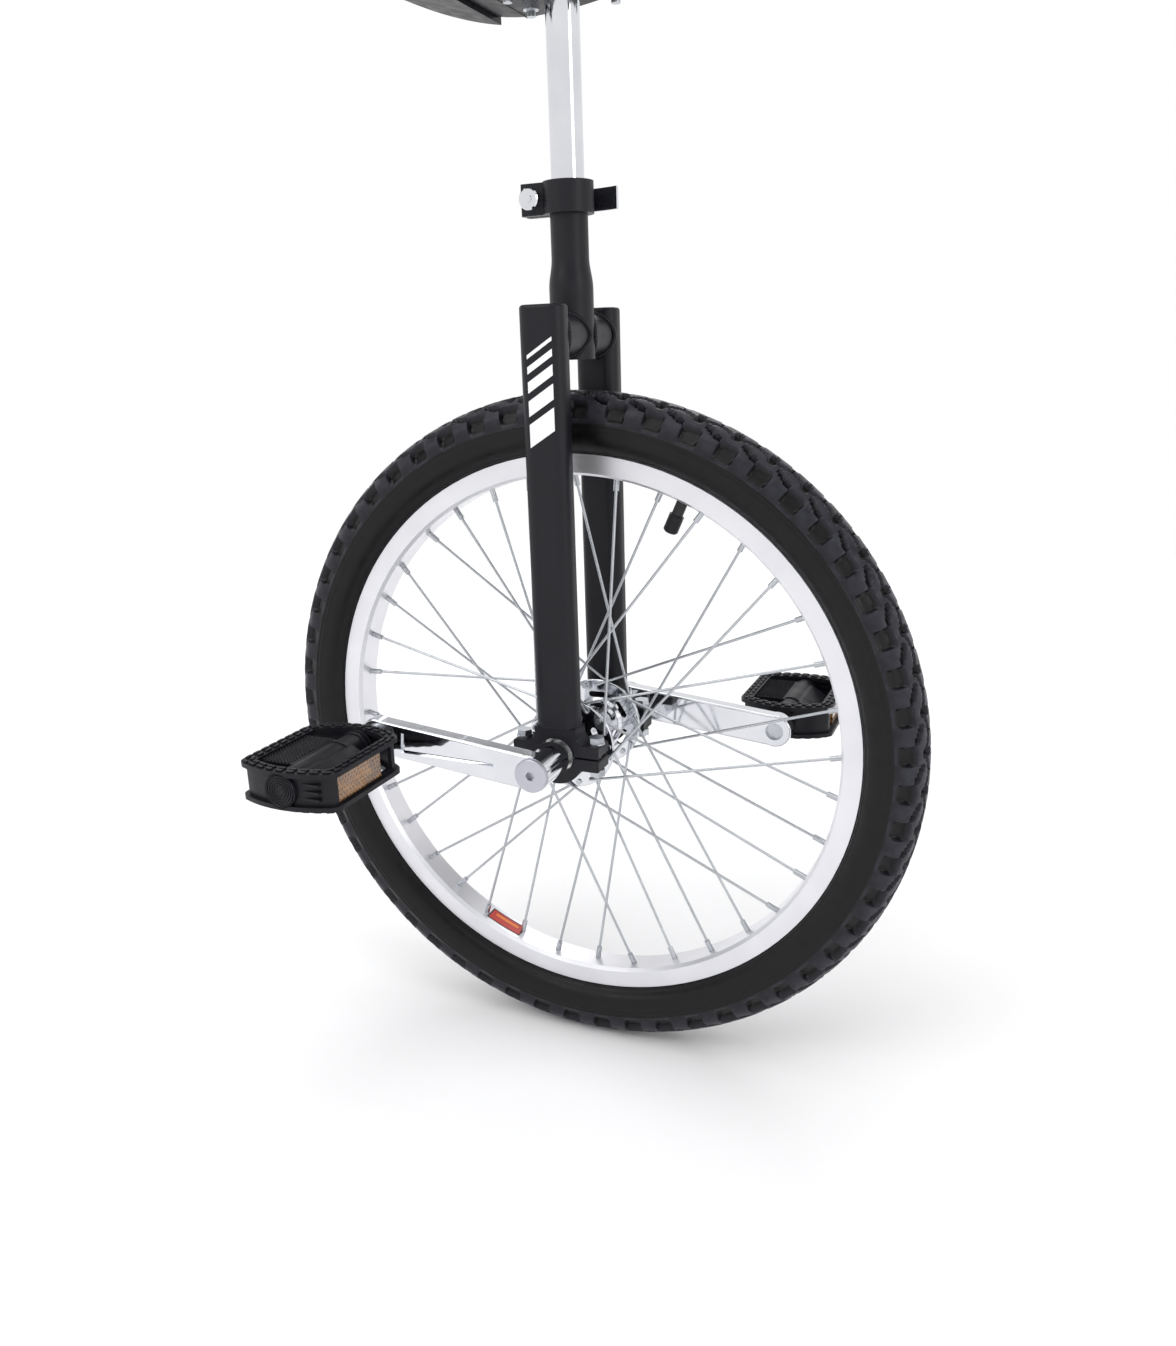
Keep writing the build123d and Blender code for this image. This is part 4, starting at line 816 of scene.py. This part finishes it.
def build_rim_label():
    """A plain red label with a dark border and an orange stripe, on the rim's inner face."""
    def on_bed(u, y, lift):
        angle = LABEL_ANGLE + u / LABEL_RADIUS
        radius = LABEL_RADIUS - lift
        return HUB + Vector((radius * math.cos(angle), y, radius * math.sin(angle))) * MM

    layers = []
    for paint, half, low, high, lift in ((BLACK_FILM, 16.0, -7.0, 7.0, 0.10), (RED_FILM, 14.8, -5.8, 5.8, 0.16),
                                         (ORANGE_FILM, 11.0, 0.6, 3.4, 0.22)):
        layer = wrapped_patch(on_bed, lambda u: low, lambda u: high, -half, half, lift)
        layer.materials.append(paint)
        layers.append(layer)
    show("rim_label", joined(layers, "rim_label"), "wheel")


build_leg_mark()
build_rim_label()

# ---------------------------------------------------------------- pedals
PEDAL_HALF, PEDAL_END, PEDAL_START = 38.0, 108.5, 11.5      # from the crank arm's outer face, in millimetres
SHOULDER_OUT, SHOULDER_IN = 99.5, 26.5
PLATE_TOP = 13.0
GRIP_ROWS = ((2.4, 0), (6.4, 1))        # how far each row of grip blocks is set in, and its phase
GRIP_STEP = 8.2
COLLARS = ((14.5, 2.2, 12.1), (19.5, 2.2, 12.1), (24.5, 2.2, 12.1), (42.0, 3.0, 12.0))  # start, width, radius
CAP_RINGS = (4.6, 6.4, 8.2, 10.0)


def arc_y(x, inset, outer):
    """Where a pedal's curved end runs at x, drawn in by the inset."""
    tip, shoulder = (PEDAL_END, SHOULDER_OUT) if outer else (PEDAL_START, SHOULDER_IN)
    rise = abs(tip - shoulder)
    bend = (PEDAL_HALF ** 2 + rise ** 2) / (2 * rise)
    drop = bend - math.sqrt((bend - inset) ** 2 - x * x)
    return tip - drop if outer else tip + drop


def pedal_rim_path(inset):
    """The line round a pedal's rim at that distance in from its edge."""
    half = PEDAL_HALF - inset
    spots = [Vector((x, arc_y(x, inset, True), 0)) for x in (-half, -0.75 * half, -0.4 * half, 0, 0.4 * half,
                                                            0.75 * half, half)]
    spots += [Vector((half, y, 0)) for y in (86, 72, 58, 44)]
    spots += [Vector((x, arc_y(x, inset, False), 0)) for x in (half, 0.75 * half, 0.4 * half, 0, -0.4 * half,
                                                              -0.75 * half, -half)]
    spots += [Vector((-half, y, 0)) for y in (44, 58, 72, 86)]
    return [p * MM for p in rounded(spots)]


def build_pedal(side, body, place):
    """The grip blocks, knurled pads, barrel collars and end cap of one pedal, all in place on it."""
    plastic = FINISHES["black_plastic"]
    block = template("grip_block", block_mesh((2.5, 1.9, 5.6), 0.35, taper=0.82))
    dot = template("knurl_point", block_mesh((1.5, 1.3, 1.5), 0.25, taper=0.45))
    pieces = []
    for up in (-1, 1):
        for inset, phase in GRIP_ROWS:
            path = pedal_rim_path(inset)
            places = 2 * round(run_length(path) / (GRIP_STEP * MM))
            row = grown(path_curve(path), PATH, Template=block, Places=places, Every=2, Phase=phase, Finish=plastic)
            pieces.append(moved(row, Vector((0, 0, up * (PLATE_TOP + 0.2) * MM))))
        # A knurled pad beside the barrel, on the rear of the upper face and the front of the lower one.
        for shift in (0.0, 1.5):
            pad = grown(path_curve([Vector((0, 0, 0)), Vector((0, 0, MM))], False), PANEL, Template=dot,
                        Width=20 * MM, Depth=46 * MM, Columns=8, Rows=17, Finish=plastic)
            pad.transform(Matrix.Translation((shift * MM, shift * MM * 0.9, 0)))
            pieces.append(moved(pad, Vector((-up * 18 * MM, 64 * MM, up * 11.2 * MM))))
    for start, width, radius in COLLARS:
        ring = turned_mesh([(10.6, start), (radius - 0.4, start), (radius, start + 0.4),
                            (radius, start + width - 0.4), (radius - 0.4, start + width), (10.6, start + width)],
                           Vector((0, 0, 0)), ring=True)
        ring.materials.append(plastic)
        pieces.append(ring)
    tread = joined(pieces, f"{body}_tread")
    for thing in (block, dot):
        bpy.data.objects.remove(thing)
    flip = Matrix.Diagonal((1, side, 1, 1))
    tread.transform(Matrix.Translation(place) @ flip)
    show(f"{body}_tread", soften(face_outwards(tread), 30), body)
    rings = [(0, 107.6), (1.6, 107.6), (2.0, 108.0), (2.8, 108.0), (3.2, 107.6)]
    for radius in CAP_RINGS:
        rings += [(radius - 0.55, 107.7), (radius - 0.3, 108.3), (radius + 0.3, 108.3), (radius + 0.55, 107.7)]
    cap = turned_mesh(rings + [(10.9, 108.1), (11.3, 108.4), (11.75, 107.7), (11.75, 104.5), (9.45, 104.5),
                               (9.45, 99.5), (0, 99.5)], Vector((0, 0, 0)), segments=64)
    cap.materials.append(plastic)
    cap.transform(Matrix.Translation(place) @ flip)
    show(f"{body}_end_cap", soften(face_outwards(cap), 30), body, [f"{body}_cap"])


def pedal_place(body, side):
    """The middle of a pedal's spindle, at the outer face of its crank arm."""
    low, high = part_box(f"{body}_body")
    arm = (high.y if side > 0 else -low.y) - PEDAL_END * MM
    return Vector(((low.x + high.x) / 2, side * arm, (low.z + high.z) / 2))


build_pedal(-1, "right_pedal", pedal_place("right_pedal", -1))
build_pedal(1, "left_pedal", pedal_place("left_pedal", 1))

# ---------------------------------------------------------------- saddle
foam_low, foam_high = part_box("saddle_foam")
SADDLE_FOOT = foam_low.z
PAD_GRID = 4.5 * MM
SWELL_STEPS, SWELL_LIMIT = 20, 5 * MM
CHANNEL_WIDTH, CHANNEL_DEPTH = 4.2 * MM, 3.2 * MM
STITCH_PLACES, STITCH_STEP = 60, 3.9 * MM       # points that find the cover's surface, and one stitch with its gap
PIPING_RADIUS = 1.5 * MM


def upholster():
    """The saddle's pad and cover: the foam's shape, filled out under its vinyl by a short cloth simulation."""
    pad = bpy.data.objects.new("saddle_pad", frame["nodes"]["saddle_foam"].data.copy())
    bpy.context.scene.collection.objects.link(pad)
    face_outwards(pad.data)
    grid = pad.modifiers.new("grid", "REMESH")
    grid.mode = "VOXEL"
    grid.voxel_size = PAD_GRID
    bpy.context.view_layer.update()
    even = bpy.data.meshes.new_from_object(pad.evaluated_get(bpy.context.evaluated_depsgraph_get()))
    pad.modifiers.clear()
    pad.data = even
    rest = [vert.co.copy() for vert in even.vertices]
    held = pad.vertex_groups.new(name="held")
    for vert in even.vertices:
        hold = 1 - ease(vert.co.z - SADDLE_FOOT, 0.004, 0.016)
        held.add([vert.index], hold, "REPLACE")
    cloth = pad.modifiers.new("cloth", "CLOTH")
    cloth.settings.vertex_group_mass = "held"
    cloth.settings.use_pressure = True
    cloth.settings.uniform_pressure_force = 4
    cloth.settings.effector_weights.gravity = 0
    cloth.settings.quality = 6
    cloth.point_cache.frame_start, cloth.point_cache.frame_end = 1, SWELL_STEPS
    for step in range(1, SWELL_STEPS + 1):
        bpy.context.scene.frame_set(step)
    swollen = bpy.data.meshes.new_from_object(pad.evaluated_get(bpy.context.evaluated_depsgraph_get()))
    pad.modifiers.clear()
    pad.vertex_groups.clear()
    pad.data = swollen
    for vert, start in zip(swollen.vertices, rest):
        shift = vert.co - start
        if shift.length > SWELL_LIMIT:
            vert.co = start + shift.normalized() * SWELL_LIMIT
    bpy.context.scene.frame_set(1)
    return pad


def near_seam(y, offset):
    """How near a place is to a sewn line: 1 on it, 0 away from it."""
    return 1 - ease(abs(abs(y) - offset), 0.0, CHANNEL_WIDTH)


def seam_offset(x):
    """Half the distance between the two sewn lines at x: wide at one end, close at the other."""
    share = (x - foam_low.x) / (foam_high.x - foam_low.x)
    return 0.040 - 0.024 * ease(share, 0.15, 0.85)


def finish_saddle(pad):
    """Divides the pad finely, sinks the sewn channels, and shows it as the saddle's upholstery."""
    finer = pad.modifiers.new("finer", "SUBSURF")
    finer.levels = finer.render_levels = 1
    bpy.context.view_layer.update()
    mesh = bpy.data.meshes.new_from_object(pad.evaluated_get(bpy.context.evaluated_depsgraph_get()))
    bpy.data.objects.remove(pad)
    for vert in mesh.vertices:
        if vert.normal.z > 0.3:
            depth = near_seam(vert.co.y, seam_offset(vert.co.x))
            inside = ease(vert.co.x, foam_low.x + 0.020, foam_low.x + 0.032)
            inside *= 1 - ease(vert.co.x, foam_high.x - 0.032, foam_high.x - 0.020)
            vert.co.z -= CHANNEL_DEPTH * depth * inside
    mesh.materials.clear()
    mesh.materials.append(FINISHES["saddle_vinyl"])
    cover = show("saddle_upholstery", soften(face_outwards(mesh), 70), "seat",
                 ["saddle_foam", "saddle_cover"])
    return cover


def stitch_rows(cover):
    """Rows of stitches beside each sewn channel, laid on the cover."""
    bpy.context.view_layer.update()
    stitch = template("stitch", block_mesh((0.9, 0.8, 2.8), 0.25, taper=0.9))
    rows = []
    for side in (-1, 1):
        for beside in (-3.6 * MM, 3.6 * MM):
            line = []
            for k in range(STITCH_PLACES + 1):
                x = foam_low.x + 0.034 + (foam_high.x - foam_low.x - 0.068) * k / STITCH_PLACES
                y = side * (seam_offset(x) + beside)
                hit, spot, _, _ = cover.ray_cast(Vector((x, y, 1.2)), Vector((0, 0, -1)))
                if hit:
                    line.append(spot + Vector((0, 0, 0.1 * MM)))
            places = round(run_length(line, False) / STITCH_STEP)
            rows.append(grown(path_curve(line, False), PATH, Template=stitch, Places=places, Every=1, Phase=0,
                              Finish=FINISHES["thread"]))
    bpy.data.objects.remove(stitch)
    show("saddle_stitches", soften(joined(rows, "saddle_stitches"), 40), "seat")


def build_piping():
    """A round piping sewn along the cover's lower edge, where it is pulled over the shell."""
    shell = bmesh.new()
    shell.from_mesh(frame["nodes"]["saddle_cover"].data)
    bmesh.ops.remove_doubles(shell, verts=shell.verts, dist=0.00001)
    level = SADDLE_FOOT - PIPING_RADIUS
    cut = bmesh.ops.bisect_plane(shell, geom=shell.verts[:] + shell.edges[:] + shell.faces[:],
                                 plane_co=(0, 0, level), plane_no=(0, 0, 1))
    rim = [item.co.copy() for item in cut["geom_cut"] if isinstance(item, bmesh.types.BMVert)]
    shell.free()
    around = {}
    for spot in rim:
        step = round(math.atan2(spot.y, spot.x) * 60 / math.pi)
        if step not in around or spot.length > around[step].length:
            around[step] = spot
    line = [around[step] for step in sorted(around)]
    data = path_curve([Vector((p.x, p.y, level)) + Vector((p.x, p.y, 0)).normalized() * 0.4 * MM for p in line])
    data.bevel_depth = PIPING_RADIUS
    data.bevel_resolution = 3
    data.splines[0].use_smooth = True
    tube = bpy.data.objects.new("tube", data)
    bpy.context.scene.collection.objects.link(tube)
    bpy.context.view_layer.update()
    mesh = bpy.data.meshes.new_from_object(tube.evaluated_get(bpy.context.evaluated_depsgraph_get()))
    bpy.data.objects.remove(tube)
    mesh.materials.clear()
    mesh.materials.append(FINISHES["saddle_vinyl"])
    show("saddle_piping", soften(mesh, 60), "seat")


build_piping()
stitch_rows(finish_saddle(upholster()))
